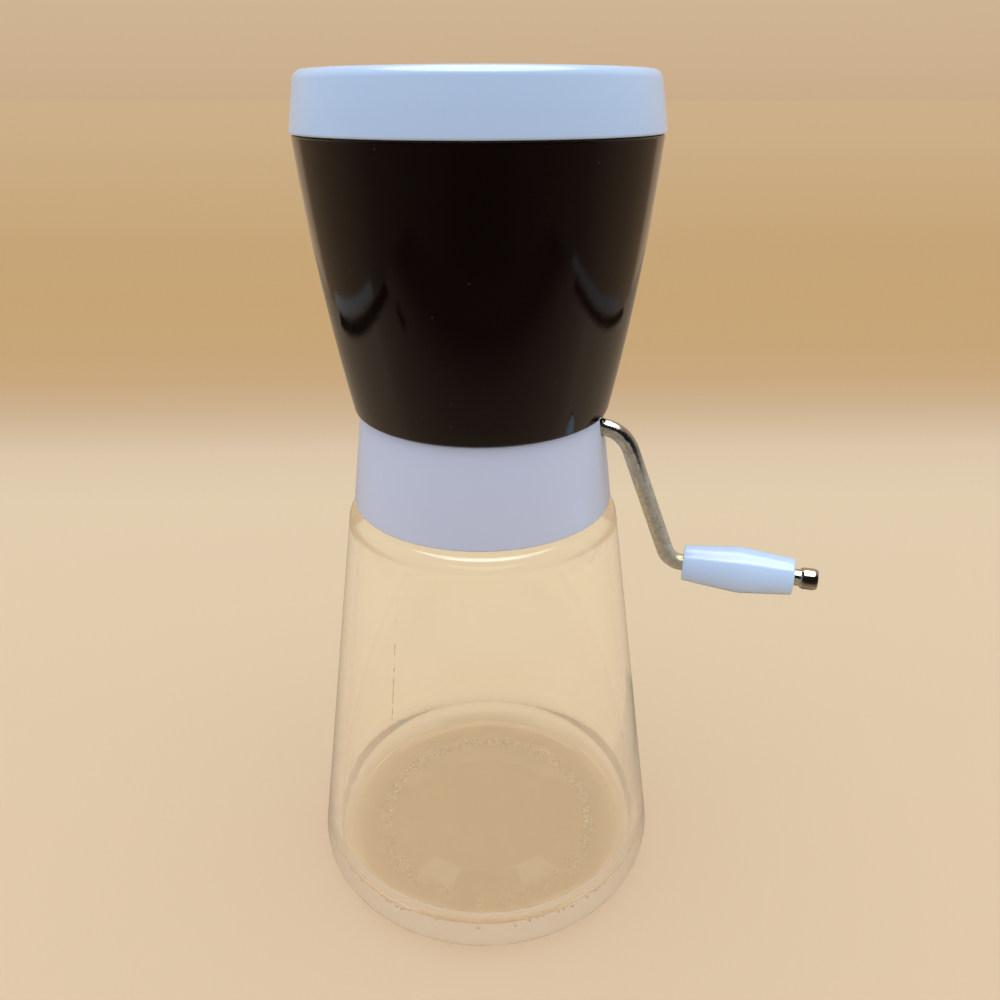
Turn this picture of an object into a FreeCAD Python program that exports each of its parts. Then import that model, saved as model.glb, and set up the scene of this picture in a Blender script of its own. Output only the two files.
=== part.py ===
import FreeCAD, Part
import os
import re
import Sketcher

# Hand cranked nut chopper. Millimetres, +Z up. The origin is the middle of the jar's foot on the table,
# and +X is the way the crank shaft points out of the body towards the grip.

# Driving sizes. Each is set by itself, and every other size and place is worked out from these.
SIZES = {
    # glass jar: a cone outside, a screw neck on top
    "jar_base_radius": 48.65,
    "jar_shoulder_radius": 33.05,
    "jar_shoulder_height": 109.45,
    "jar_heel_round": 6.0,
    "jar_shoulder_round": 4.6,
    "glass_wall": 3.0,
    "glass_floor": 6.0,
    "punt_radius": 31.6,
    "punt_depth": 0.8,
    "shoulder_width": 4.9,
    "neck_length": 10.4,
    "neck_edge": 0.8,
    # liner ring between the glass rim and the collar
    "liner_thickness": 1.0,
    "liner_width": 4.0,
    "liner_clearance": 0.3,
    # collar: threaded skirt, web and bearing chamber
    "skirt_clearance": 1.6,
    "skirt_lift": 0.7,
    "collar_wall": 2.0,
    "skirt_wall": 2.2,
    "collar_taper": 3.05,
    "web_thickness": 1.6,
    "ledge_width": 2.2,
    "moulded_edge": 0.4,
    # crank shaft and its split bearing
    "shaft_rise": 8.0,
    "shaft_cover": 3.2,
    "rod_radius": 1.985,
    "journal_radius": 1.575,
    "running_clearance": 0.06,
    "mouth_clearance": 0.35,
    "pad_half_width": 3.6,
    "pad_reach": 5.5,
    "end_play": 0.25,
    "shaft_end_gap": 0.8,
    # crank arm
    "bend_inset": 0.1,
    "upper_bend": 8.0,
    "lower_bend": 4.7,
    "arm_slant": 21.6,
    "crank_throw": 33.1,
    # grip and its end cap
    "grip_length": 25.6,
    "grip_end_radius": 4.3,
    "grip_crest_radius": 5.48,
    "grip_crest_sweep": 9.0,
    "grip_clearance": 0.08,
    "grip_play": 1.6,
    "grip_edge": 0.5,
    "cap_length": 3.85,
    "cap_wall": 0.55,
    "cap_end_wall": 0.8,
    "cap_edge": 0.15,
    # rotor
    "blade_room": 2.7,
    "blade_thickness": 1.0,
    "blade_hub_radius": 4.6,
    "flat_half_width": 1.6,
    "fit_clearance": 0.03,
    "spacer_radius": 3.3,
    "stack_gap": 0.02,
    "clip_thickness": 0.6,
    "clip_radius": 3.2,
    "groove_radius": 1.2,
    "far_washer_thickness": 0.6,
    "near_washer_thickness": 1.2,
    "washer_radius": 3.4,
    # chopping grate
    "grate_thickness": 1.0,
    "dish_margin": 0.2,
    "dish_depth": 2.0,
    "fine_slot_width": 2.2,
    "coarse_slot_width": 4.0,
    "slot_end_clearance": 0.6,
    "grate_clearance": 0.2,
    # hopper
    "joint_gap": 0.1,
    "hopper_overhang": 1.1,
    "hopper_top_radius": 38.6,
    "hopper_height": 59.35,
    "hopper_sweep": 487.0,
    "hopper_wall": 2.25,
    "hopper_edge": 1.0,
    "spigot_clearance": 0.15,
    "clamp_gap": 0.05,
    "notch_radius": 3.4,
    "notch_rise": 1.1,
    # self-tapping screws that hold the collar, grate and hopper together
    "screw_inset": 2.5,
    "screw_bearing": 60.0,
    "screw_radius": 1.0,
    "screw_length": 8.6,
    "screw_head_radius": 2.1,
    "screw_head_height": 1.5,
    "screw_clearance": 0.3,
    "pilot_clearance": 0.05,
    "lug_radius": 2.9,
    "boss_height": 8.4,
    # lid
    "lid_overhang": 0.4,
    "lid_taper": 1.95,
    "lid_side_height": 11.55,
    "lid_dome_rise": 0.8,
    "lid_edge_round": 1.8,
    "lid_wall": 1.6,
    "plug_depth": 4.0,
    "plug_wall": 1.2,
    "plug_clearance": 0.2,
    "plug_draft": 0.6,
    "skirt_groove": 3.0,
}

# Places and sizes that follow from the driving sizes, in the order in which they build on each other.
PLACES = {
    "jar_taper": "(jar_base_radius - jar_shoulder_radius) / jar_shoulder_height",
    "neck_radius": "jar_shoulder_radius - shoulder_width",
    "neck_bore": "neck_radius - glass_wall",
    "wall_across": "glass_wall * sqrt(1 + jar_taper ^ 2)",
    "inner_shoulder": "jar_shoulder_height - glass_wall",
    "rim_level": "jar_shoulder_height + neck_length",
    "web_bottom": "rim_level + liner_thickness",
    "web_top": "web_bottom + web_thickness",
    "skirt_bottom": "jar_shoulder_height + skirt_lift",
    "skirt_bore": "neck_radius + skirt_clearance",
    "collar_bottom_radius": "skirt_bore + skirt_wall",
    "collar_top_radius": "collar_bottom_radius - collar_taper",
    "chamber_bore": "collar_top_radius - collar_wall",
    "throat_radius": "chamber_bore - ledge_width",
    "shaft_level": "web_top + shaft_rise",
    "collar_top": "shaft_level + shaft_cover",
    "near_seat": "rod_radius + running_clearance",
    "far_seat": "journal_radius + running_clearance",
    "pad_face": "throat_radius - pad_reach",
    "near_stack": "stack_gap + near_washer_thickness",
    "far_stack": "2 * stack_gap + clip_thickness + far_washer_thickness",
    "stack_half": "pad_face - end_play - max(near_stack; far_stack)",
    "blade_pitch": "(stack_half - blade_thickness / 2) / 2.5",
    "clip_end": "stack_half + stack_gap + clip_thickness",
    "far_washer_end": "clip_end + stack_gap + far_washer_thickness",
    "shaft_end": "chamber_bore - shaft_end_gap",
    "bend_start": "collar_top_radius - bend_inset",
    "rise_angle": "90 - arm_slant",
    "bend_tangent": "tan(rise_angle / 2)",
    "arm_top": "bend_start + upper_bend * bend_tangent",
    "arm_foot": "arm_top + crank_throw * tan(arm_slant)",
    "pin_start": "arm_foot + lower_bend * bend_tangent",
    "pin_level": "shaft_level - crank_throw",
    "grip_start": "pin_start + 0.3",
    "grip_end": "grip_start + grip_length",
    "cap_start": "grip_end + grip_play",
    "cap_radius": "rod_radius + cap_wall",
    "pin_end": "cap_start + cap_length - cap_end_wall",
    "grate_top": "web_top + grate_thickness",
    "grate_radius": "chamber_bore - grate_clearance",
    "screw_circle": "throat_radius - screw_inset",
    "screw_x": "screw_circle * cos(screw_bearing)",
    "screw_y": "screw_circle * sin(screw_bearing)",
    "dish_radius": "screw_circle - lug_radius - dish_margin",
    "blade_tip_radius": "screw_y - lug_radius - blade_room",
    "slot_reach": "sqrt(blade_tip_radius ^ 2 - (shaft_rise - grate_thickness) ^ 2) + slot_end_clearance",
    "spigot_bottom": "grate_top + clamp_gap",
    "spigot_radius": "chamber_bore - spigot_clearance",
    "joint_level": "collar_top + joint_gap",
    "hopper_rim": "joint_level + hopper_height",
    "hopper_bottom_radius": "collar_top_radius + hopper_overhang",
    "hopper_mouth": "hopper_top_radius - hopper_wall",
    "lid_bottom_radius": "hopper_top_radius + lid_overhang",
    "lid_top_radius": "lid_bottom_radius - lid_taper",
    "lid_bottom": "hopper_rim + joint_gap",
    "lid_side_top": "lid_bottom + lid_side_height",
    "lid_top": "lid_side_top + lid_dome_rise",
    "plug_radius": "hopper_mouth - plug_clearance",
    "lid_dome": "(lid_top_radius ^ 2 + lid_dome_rise ^ 2) / (2 * lid_dome_rise)",
}

BLADE_COUNT = 6
HALF = "half circle"
AHEAD = FreeCAD.Vector(0, 0, 1)

doc = FreeCAD.newDocument("NutChopper")


# The two sheets: plain numbers in Sizes, formulas in Places.
def fill_sheet(sheet_name, cells):
    """Write one row for each size: its name in column A, its value or formula in column B."""
    sheet = doc.addObject("Spreadsheet::Sheet", sheet_name)
    for row, (alias, content) in enumerate(cells.items(), start=1):
        sheet.set(f"A{row}", alias)
        sheet.set(f"B{row}", content)
        sheet.setAlias(f"B{row}", alias)
    return sheet


def bound(text):
    """Write an expression with each size's name looked up in its sheet."""
    def look_up(word):
        name = word.group(0)
        if name in SIZES:
            return "Sizes." + name
        return "Places." + name if name in PLACES else name
    return re.sub(r"[a-z][a-z_]+[a-z]", look_up, text)


sizes = fill_sheet("Sizes", {name: str(value) for name, value in SIZES.items()})
fill_sheet("Places", {name: "=" + bound(formula) for name, formula in PLACES.items()})
doc.recompute()


def value(text):
    """The number that an expression comes to with the sizes as they are."""
    return float(sizes.evalExpression(bound(text)))


# Sketches
def new_body(label):
    body = doc.addObject("PartDesign::Body", label)
    body.Label = label
    return body


def origin_part(body, role):
    return next(f for f in body.Origin.OriginFeatures if f.Role == role)


def new_sketch(body, name, plane, offset=None):
    """A sketch on one of the body's own planes, moved along the plane's normal by offset."""
    sketch = body.newObject("Sketcher::SketchObject", name)
    sketch.AttachmentSupport = [(origin_part(body, plane), "")]
    sketch.MapMode = "FlatFace"
    if offset is not None:
        sketch.setExpression("AttachmentOffset.Base.z", bound(offset))
    return sketch


def name_constraint(sketch, constraint, name, expression):
    index = sketch.addConstraint(constraint)
    sketch.renameConstraint(index, name)
    sketch.setExpression(f".Constraints.{name}", bound(expression))


def pin_point(sketch, side, end, tag, across, up):
    """Hold one end of a side at a place that two expressions give."""
    name_constraint(sketch, Sketcher.Constraint("DistanceX", -1, 1, side, end, value(across)), tag + "x", across)
    name_constraint(sketch, Sketcher.Constraint("DistanceY", -1, 1, side, end, value(up)), tag + "y", up)


def outline(sketch, corners, tag="p"):
    """Draw a closed outline through corners given as (across, up) expressions.

    A corner with a third entry starts an arc of that radius to the next corner, and its fourth entry says
    which side of the chord the arc bows to: 1 is left of the way from corner to corner, -1 is right.
    A fifth entry, HALF, marks a half circle on a level chord, whose middle is held instead of its radius.
    """
    points = [FreeCAD.Vector(value(c[0]), value(c[1]), 0) for c in corners]
    ends = []
    for i, corner in enumerate(corners):
        start, stop = points[i], points[(i + 1) % len(points)]
        if len(corner) == 2:
            side = sketch.addGeometry(Part.LineSegment(start, stop))
            ends.append((side, 1, 2))
            continue
        chord = stop - start
        radius = value(corner[2])
        left = FreeCAD.Vector(-chord.y, chord.x, 0).normalize() * corner[3]
        rise = radius - (radius ** 2 - (chord.Length / 2) ** 2) ** 0.5
        middle = start + chord * 0.5 + left * rise
        # An arc is drawn the left-hand way round, so one that bows to the left starts at its far corner.
        if corner[3] > 0:
            ends.append((sketch.addGeometry(Part.Arc(stop, middle, start)), 2, 1))
        else:
            ends.append((sketch.addGeometry(Part.Arc(start, middle, stop)), 1, 2))
    for i, corner in enumerate(corners):
        side, first, last = ends[i]
        following = ends[(i + 1) % len(ends)]
        sketch.addConstraint(Sketcher.Constraint("Coincident", side, last, following[0], following[1]))
        pin_point(sketch, side, first, f"{tag}{i}", corner[0], corner[1])
        if corner[-1] == HALF:
            middle = Sketcher.Constraint("DistanceY", -1, 1, side, 3, value(corner[1]))
            name_constraint(sketch, middle, f"{tag}{i}m", corner[1])
        elif len(corner) > 2:
            radius = Sketcher.Constraint("Radius", side, value(corner[2]))
            name_constraint(sketch, radius, f"{tag}{i}r", corner[2])


def circle(sketch, across, up, radius, tag="c"):
    middle = FreeCAD.Vector(value(across), value(up), 0)
    ring = sketch.addGeometry(Part.Circle(middle, AHEAD, value(radius)))
    pin_point(sketch, ring, 3, tag, across, up)
    name_constraint(sketch, Sketcher.Constraint("Radius", ring, value(radius)), tag + "r", radius)


def box_outline(sketch, left, right, low, high, tag="b"):
    outline(sketch, [(left, low), (right, low), (right, high), (left, high)], tag)


# Features
def finish(body, feature):
    body.Tip = feature
    doc.recompute()
    return feature


def revolve(body, sketch, name, axis="V_Axis"):
    feature = body.newObject("PartDesign::Revolution", name)
    feature.Profile = (sketch, [""])
    feature.ReferenceAxis = (sketch, [axis])
    feature.Angle = 360
    return finish(body, feature)


def pad(body, sketch, name, length, both_ways=False):
    feature = body.newObject("PartDesign::Pad", name)
    feature.Profile = (sketch, [""])
    feature.setExpression("Length", bound(length))
    feature.SideType = "Symmetric" if both_ways else "One side"
    return finish(body, feature)


def pocket(body, sketch, name, depth=None, both_ways=False, forward=False):
    """Cut a sketch out of the body, all the way through unless a depth is given."""
    feature = body.newObject("PartDesign::Pocket", name)
    feature.Profile = (sketch, [""])
    if depth is None:
        feature.Type = "ThroughAll"
    else:
        feature.setExpression("Length", bound(depth))
    feature.SideType = "Symmetric" if both_ways else "One side"
    feature.Reversed = forward
    return finish(body, feature)


def turn_pattern(body, original, name, axis, count):
    feature = body.newObject("PartDesign::PolarPattern", name)
    feature.Originals = [original]
    feature.Axis = (origin_part(body, axis), [""])
    feature.Angle = 360
    feature.Occurrences = count
    return finish(body, feature)


def row_pattern(body, original, name, axis, spacing, count):
    feature = body.newObject("PartDesign::LinearPattern", name)
    feature.Originals = [original]
    feature.Direction = (origin_part(body, axis), [""])
    feature.Occurrences = count
    feature.setExpression("Length", bound(f"{spacing} * {count - 1}"))
    return finish(body, feature)


def hoops(feature, spots, axis="z"):
    """Names of the round edges about an axis that have one of the given (radius, place on the axis) pairs."""
    wanted = [(value(radius), value(place)) for radius, place in spots]
    names = []
    for number, edge in enumerate(feature.Shape.Edges, start=1):
        if edge.Degenerated or not isinstance(edge.Curve, Part.Circle):
            continue
        place = getattr(edge.Curve.Center, axis)
        if any(abs(edge.Curve.Radius - r) < 0.01 and abs(place - p) < 0.01 for r, p in wanted):
            names.append(f"Edge{number}")
    return names


def dress(body, base, name, spots, kind, measure, size, axis):
    feature = body.newObject("PartDesign::" + kind, name)
    feature.Base = (base, hoops(base, spots, axis))
    feature.setExpression(measure, bound(size))
    return finish(body, feature)


def fillet(body, base, name, spots, radius, axis="z"):
    return dress(body, base, name, spots, "Fillet", "Radius", radius, axis)


def chamfer(body, base, name, spots, size, axis="z"):
    return dress(body, base, name, spots, "Chamfer", "Size", size, axis)


def place_body(body, x="0", z="0"):
    body.setExpression("Placement.Base.x", bound(x))
    body.setExpression("Placement.Base.z", bound(z))


def washer(label, bore, radius, thickness, start):
    """A flat ring on the crank shaft, whose low X face lies at start."""
    body = new_body(label)
    sketch = new_sketch(body, label + "_face", "YZ_Plane")
    circle(sketch, "0", "0", radius, "rim")
    circle(sketch, "0", "0", bore, "bore")
    pad(body, sketch, label + "_pad", thickness)
    place_body(body, start, "shaft_level")
    return body


# Glass jar: one turned profile, with the punt under the foot and the neck for the collar.
def make_glass_jar():
    body = new_body("glass_jar")
    section = new_sketch(body, "jar_section", "XZ_Plane")
    outline(section, [
        ("0", "punt_depth"),
        ("punt_radius - punt_depth", "punt_depth"),
        ("punt_radius", "0"),
        ("jar_base_radius", "0"),
        ("jar_shoulder_radius", "jar_shoulder_height"),
        ("neck_radius", "jar_shoulder_height"),
        ("neck_radius", "rim_level"),
        ("neck_bore", "rim_level"),
        ("neck_bore", "inner_shoulder"),
        ("jar_base_radius - jar_taper * inner_shoulder - wall_across", "inner_shoulder"),
        ("jar_base_radius - jar_taper * glass_floor - wall_across", "glass_floor"),
        ("0", "glass_floor"),
    ])
    solid = revolve(body, section, "jar_turned")
    solid = fillet(body, solid, "heel", [("jar_base_radius", "0")], "jar_heel_round")
    inner_foot = ("jar_base_radius - jar_taper * glass_floor - wall_across", "glass_floor")
    solid = fillet(body, solid, "inner_heel", [inner_foot], "jar_heel_round")
    solid = fillet(body, solid, "shoulder", [("jar_shoulder_radius", "jar_shoulder_height")], "jar_shoulder_round")
    inner_edge = ("jar_base_radius - jar_taper * inner_shoulder - wall_across", "inner_shoulder")
    solid = fillet(body, solid, "inner_shoulder_round", [inner_edge], "jar_shoulder_round / 2")
    rim = [("neck_radius", "rim_level"), ("neck_bore", "rim_level"), ("neck_bore", "inner_shoulder")]
    chamfer(body, solid, "neck_edges", rim, "neck_edge")


# Liner: the flat ring that the collar presses onto the glass rim.
def make_jar_liner():
    body = new_body("jar_liner")
    face = new_sketch(body, "liner_face", "XY_Plane", "rim_level")
    circle(face, "0", "0", "skirt_bore - liner_clearance", "rim")
    circle(face, "0", "0", "skirt_bore - liner_clearance - liner_width", "bore")
    pad(body, face, "liner_pad", "liner_thickness")


def four_corners():
    """The four places of the screws, as (tag, X, Y) with a sign on each."""
    return [(f"{'mp'[sx > 0]}{'mp'[sy > 0]}", f"{sx} * screw_x", f"{sy} * screw_y") for sx in (-1, 1) for sy in (-1, 1)]


def screw_circles(sketch, radius):
    for tag, x, y in four_corners():
        circle(sketch, x, y, radius, tag)


# Collar: the skirt screws onto the neck, the web carries the grate, and two pads carry the shaft.
def make_collar():
    body = new_body("collar")
    section = new_sketch(body, "collar_section", "XZ_Plane")
    outline(section, [
        ("skirt_bore", "skirt_bottom"),
        ("collar_bottom_radius", "skirt_bottom"),
        ("collar_top_radius", "collar_top"),
        ("chamber_bore", "collar_top"),
        ("chamber_bore", "web_top"),
        ("throat_radius", "web_top"),
        ("throat_radius", "web_bottom"),
        ("skirt_bore", "web_bottom"),
    ])
    solid = revolve(body, section, "collar_turned")
    edges = [("collar_bottom_radius", "skirt_bottom"), ("collar_top_radius", "collar_top")]
    chamfer(body, solid, "collar_edges", edges, "moulded_edge")

    lugs = new_sketch(body, "lug_faces", "XY_Plane", "web_bottom")
    screw_circles(lugs, "lug_radius")
    pad(body, lugs, "lugs", "web_thickness")
    holes = new_sketch(body, "lug_hole_faces", "XY_Plane", "web_bottom")
    screw_circles(holes, "screw_radius + screw_clearance")
    pocket(body, holes, "lug_holes", "web_thickness", forward=True)

    pad_face = new_sketch(body, "pad_outline", "XY_Plane", "web_bottom")
    box_outline(pad_face, "pad_face", "chamber_bore + collar_wall / 4", "-pad_half_width", "pad_half_width")
    near_pad = pad(body, pad_face, "bearing_pad", "web_thickness + shaft_rise")
    turn_pattern(body, near_pad, "bearing_pads", "Z_Axis", 2)

    near_slot = new_sketch(body, "near_slot_face", "YZ_Plane")
    slot_outline(near_slot, "near_seat", "collar_top + 1")
    pocket(body, near_slot, "near_slot", forward=True)
    mouth = new_sketch(body, "slot_mouth_face", "YZ_Plane", "chamber_bore")
    slot_outline(mouth, "rod_radius + mouth_clearance", "collar_top + 1")
    pocket(body, mouth, "slot_mouth", forward=True)
    far_slot = new_sketch(body, "far_slot_face", "YZ_Plane")
    slot_outline(far_slot, "far_seat", "collar_top + 1")
    pocket(body, far_slot, "far_slot", "chamber_bore - running_clearance")


def slot_outline(sketch, radius, top):
    """A U that is open at the top and round about the shaft's axis at the bottom."""
    outline(sketch, [
        (f"-({radius})", "shaft_level", radius, -1, HALF),
        (radius, "shaft_level"),
        (radius, top),
        (f"-({radius})", top),
    ])


# Hopper: swept sides, a spigot that drops into the collar, and the upper half of the split bearing.
def make_hopper():
    body = new_body("hopper")
    section = new_sketch(body, "hopper_section", "XZ_Plane")
    outline(section, [
        ("spigot_radius", "spigot_bottom"),
        ("spigot_radius", "joint_level"),
        ("hopper_bottom_radius", "joint_level", "hopper_sweep", -1),
        ("hopper_top_radius", "hopper_rim"),
        ("hopper_mouth", "hopper_rim", "hopper_sweep", 1),
        ("hopper_bottom_radius - hopper_wall", "joint_level + 5"),
        ("throat_radius", "joint_level + 1.2"),
        ("throat_radius", "spigot_bottom"),
    ])
    solid = revolve(body, section, "hopper_turned")
    solid = fillet(body, solid, "hopper_bottom_edge", [("hopper_bottom_radius", "joint_level")], "hopper_edge")
    rim = [("hopper_top_radius", "hopper_rim"), ("hopper_mouth", "hopper_rim")]
    chamfer(body, solid, "hopper_rim_edges", rim, "moulded_edge")

    bosses = new_sketch(body, "boss_faces", "XY_Plane", "spigot_bottom")
    screw_circles(bosses, "lug_radius")
    pad(body, bosses, "bosses", "boss_height")
    pilots = new_sketch(body, "pilot_faces", "XY_Plane", "spigot_bottom")
    screw_circles(pilots, "screw_radius + pilot_clearance")
    pocket(body, pilots, "pilots", "screw_length - web_thickness - grate_thickness + 0.6", forward=True)

    cap_face = new_sketch(body, "bearing_cap_face", "YZ_Plane", "pad_face")
    outline(cap_face, [
        ("-pad_half_width", "shaft_level + joint_gap"),
        ("pad_half_width", "shaft_level + joint_gap"),
        ("pad_half_width", "joint_level - 1"),
        ("0", "joint_level + 2"),
        ("-pad_half_width", "joint_level - 1"),
    ])
    cap = pad(body, cap_face, "bearing_cap", "throat_radius - pad_face + 0.5")
    turn_pattern(body, cap, "bearing_caps", "Z_Axis", 2)

    straddle = new_sketch(body, "straddle_face", "YZ_Plane")
    reach = "pad_half_width + spigot_clearance"
    box_outline(straddle, f"-({reach})", reach, "spigot_bottom - 1", "shaft_level + joint_gap")
    pocket(body, straddle, "straddles", both_ways=True)
    near_bore = new_sketch(body, "near_bore_face", "YZ_Plane")
    circle(near_bore, "0", "shaft_level", "near_seat")
    pocket(body, near_bore, "near_bore", forward=True)
    far_bore = new_sketch(body, "far_bore_face", "YZ_Plane")
    circle(far_bore, "0", "shaft_level", "far_seat")
    pocket(body, far_bore, "far_bore")
    notch = new_sketch(body, "notch_face", "YZ_Plane", "spigot_radius")
    circle(notch, "0", "shaft_level + notch_rise", "notch_radius")
    pocket(body, notch, "rod_notch", forward=True)


# Chopping grate: a dished steel disc whose slots are narrow on one side of the shaft and wide on the other.
def make_chopping_grate():
    body = new_body("chopping_grate")
    section = new_sketch(body, "grate_section", "XZ_Plane")
    dish = "(dish_radius ^ 2 + dish_depth ^ 2) / (2 * dish_depth)"
    outline(section, [
        ("0", "web_top - dish_depth", dish, -1),
        ("dish_radius", "web_top"),
        ("grate_radius", "web_top"),
        ("grate_radius", "grate_top"),
        ("dish_radius", "grate_top", dish, 1),
        ("0", "grate_top - dish_depth"),
    ])
    revolve(body, section, "dished_disc")

    slot = new_sketch(body, "slot_face", "XY_Plane", "web_top - dish_depth - 1")
    middle = "2.5 * blade_pitch"
    outline(slot, [
        (f"-{middle} - fine_slot_width / 2", "-slot_reach"),
        (f"-{middle} + fine_slot_width / 2", "-slot_reach"),
        (f"-{middle} + fine_slot_width / 2", "0"),
        (f"-{middle} + coarse_slot_width / 2", "0"),
        (f"-{middle} + coarse_slot_width / 2", "slot_reach"),
        (f"-{middle} - coarse_slot_width / 2", "slot_reach"),
        (f"-{middle} - coarse_slot_width / 2", "0"),
        (f"-{middle} - fine_slot_width / 2", "0"),
    ])
    first_slot = pocket(body, slot, "stepped_slot", "dish_depth + grate_thickness + 2", forward=True)
    row_pattern(body, first_slot, "stepped_slots", "X_Axis", "blade_pitch", BLADE_COUNT)

    gap = new_sketch(body, "pad_gap_face", "XY_Plane", "web_top - 1")
    half = "pad_half_width + grate_clearance"
    box_outline(gap, "pad_face - grate_clearance", "grate_radius + 1", f"-({half})", half)
    pad_gap = pocket(body, gap, "pad_gap", "grate_thickness + 2", forward=True)
    turn_pattern(body, pad_gap, "pad_gaps", "Z_Axis", 2)
    holes = new_sketch(body, "grate_hole_faces", "XY_Plane", "web_top - 1")
    screw_circles(holes, "screw_radius + screw_clearance")
    pocket(body, holes, "grate_holes", "grate_thickness + 2", forward=True)


# Screws: four pan heads under the web, their shanks up through the lugs and the grate into the bosses.
def make_hopper_screws():
    pieces = []
    for tag, x, y in four_corners():
        shank = doc.addObject("Part::Cylinder", "shank_" + tag)
        shank.setExpression("Radius", bound("screw_radius"))
        shank.setExpression("Height", bound("screw_length"))
        head = doc.addObject("Part::Cylinder", "head_" + tag)
        head.setExpression("Radius", bound("screw_head_radius"))
        head.setExpression("Height", bound("screw_head_height"))
        for piece, level in ((shank, "web_bottom"), (head, "web_bottom - screw_head_height")):
            piece.setExpression("Placement.Base.x", bound(x))
            piece.setExpression("Placement.Base.y", bound(y))
            piece.setExpression("Placement.Base.z", bound(level))
        pieces += [shank, head]
    group = doc.addObject("Part::MultiFuse", "hopper_screws")
    group.Label = "hopper_screws"
    group.Shapes = pieces
    doc.recompute()


# Crank rod: one bent wire, with four flats for the blades, a clip groove and a turned-down far journal.
def make_crank_rod():
    body = new_body("crank_rod")
    path = new_sketch(body, "rod_path", "XZ_Plane")
    slant = value("arm_slant")
    upper, lower = value("upper_bend"), value("lower_bend")
    level, low = value("shaft_level"), value("pin_level")
    reach = value("bend_tangent")
    run = FreeCAD.Vector(value("sin(arm_slant)"), -value("cos(arm_slant)"), 0)
    top = FreeCAD.Vector(value("arm_top"), level, 0)
    foot = FreeCAD.Vector(value("arm_foot"), low, 0)
    start = FreeCAD.Vector(-value("shaft_end"), level, 0)
    bend_in = FreeCAD.Vector(value("bend_start"), level, 0)
    bend_out = top + run * (upper * reach)
    foot_in = foot - run * (lower * reach)
    foot_out = FreeCAD.Vector(value("pin_start"), low, 0)
    stop = FreeCAD.Vector(value("pin_end"), low, 0)
    turn = FreeCAD.Rotation(FreeCAD.Vector(0, 0, 1), -(90 - slant) / 2)
    upper_hub = FreeCAD.Vector(value("bend_start"), level - upper, 0)
    lower_hub = FreeCAD.Vector(value("pin_start"), low + lower, 0)
    upper_mid = upper_hub + turn.multVec(FreeCAD.Vector(0, upper, 0))
    lower_mid = lower_hub + turn.multVec(FreeCAD.Vector(0, -lower, 0))
    shaft = path.addGeometry(Part.LineSegment(start, bend_in))
    bend = path.addGeometry(Part.Arc(bend_out, upper_mid, bend_in))
    arm = path.addGeometry(Part.LineSegment(bend_out, foot_in))
    crook = path.addGeometry(Part.Arc(foot_in, lower_mid, foot_out))
    pin = path.addGeometry(Part.LineSegment(foot_out, stop))
    # The upper bend is drawn the left-hand way round, so it is joined end first.
    path.addConstraint(Sketcher.Constraint("Tangent", shaft, 2, bend, 2))
    path.addConstraint(Sketcher.Constraint("Tangent", bend, 1, arm, 1))
    path.addConstraint(Sketcher.Constraint("Tangent", arm, 2, crook, 1))
    path.addConstraint(Sketcher.Constraint("Tangent", crook, 2, pin, 1))
    path.addConstraint(Sketcher.Constraint("Horizontal", shaft))
    path.addConstraint(Sketcher.Constraint("Horizontal", pin))
    pin_point(path, shaft, 1, "start", "-shaft_end", "shaft_level")
    bend_x = Sketcher.Constraint("DistanceX", -1, 1, shaft, 2, value("bend_start"))
    name_constraint(path, bend_x, "bend_x", "bend_start")
    pin_point(path, pin, 2, "stop", "pin_end", "pin_level")
    foot_x = Sketcher.Constraint("DistanceX", -1, 1, pin, 1, value("pin_start"))
    name_constraint(path, foot_x, "foot_x", "pin_start")
    name_constraint(path, Sketcher.Constraint("Radius", bend, upper), "upper_radius", "upper_bend")
    name_constraint(path, Sketcher.Constraint("Radius", crook, lower), "lower_radius", "lower_bend")

    wire = new_sketch(body, "wire_section", "YZ_Plane", "-shaft_end")
    circle(wire, "0", "shaft_level", "rod_radius")
    rod = body.newObject("PartDesign::AdditivePipe", "bent_wire")
    rod.Profile = (wire, [""])
    rod.Spine = (path, [f"Edge{number}" for number in range(1, 6)])
    finish(body, rod)

    flats = new_sketch(body, "flats_face", "YZ_Plane", "stack_half")
    circle(flats, "0", "shaft_level", "2 * rod_radius", "out")
    flat = "flat_half_width"
    box_outline(flats, f"-{flat}", flat, f"shaft_level - {flat}", f"shaft_level + {flat}")
    pocket(body, flats, "four_flats")
    journal = new_sketch(body, "journal_face", "YZ_Plane", "-clip_end")
    circle(journal, "0", "shaft_level", "2 * rod_radius", "out")
    circle(journal, "0", "shaft_level", "journal_radius", "core")
    pocket(body, journal, "far_journal")
    groove = new_sketch(body, "groove_face", "YZ_Plane", "-stack_half - stack_gap")
    circle(groove, "0", "shaft_level", "2 * rod_radius", "out")
    circle(groove, "0", "shaft_level", "groove_radius", "core")
    pocket(body, groove, "clip_groove", "clip_thickness")


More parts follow.
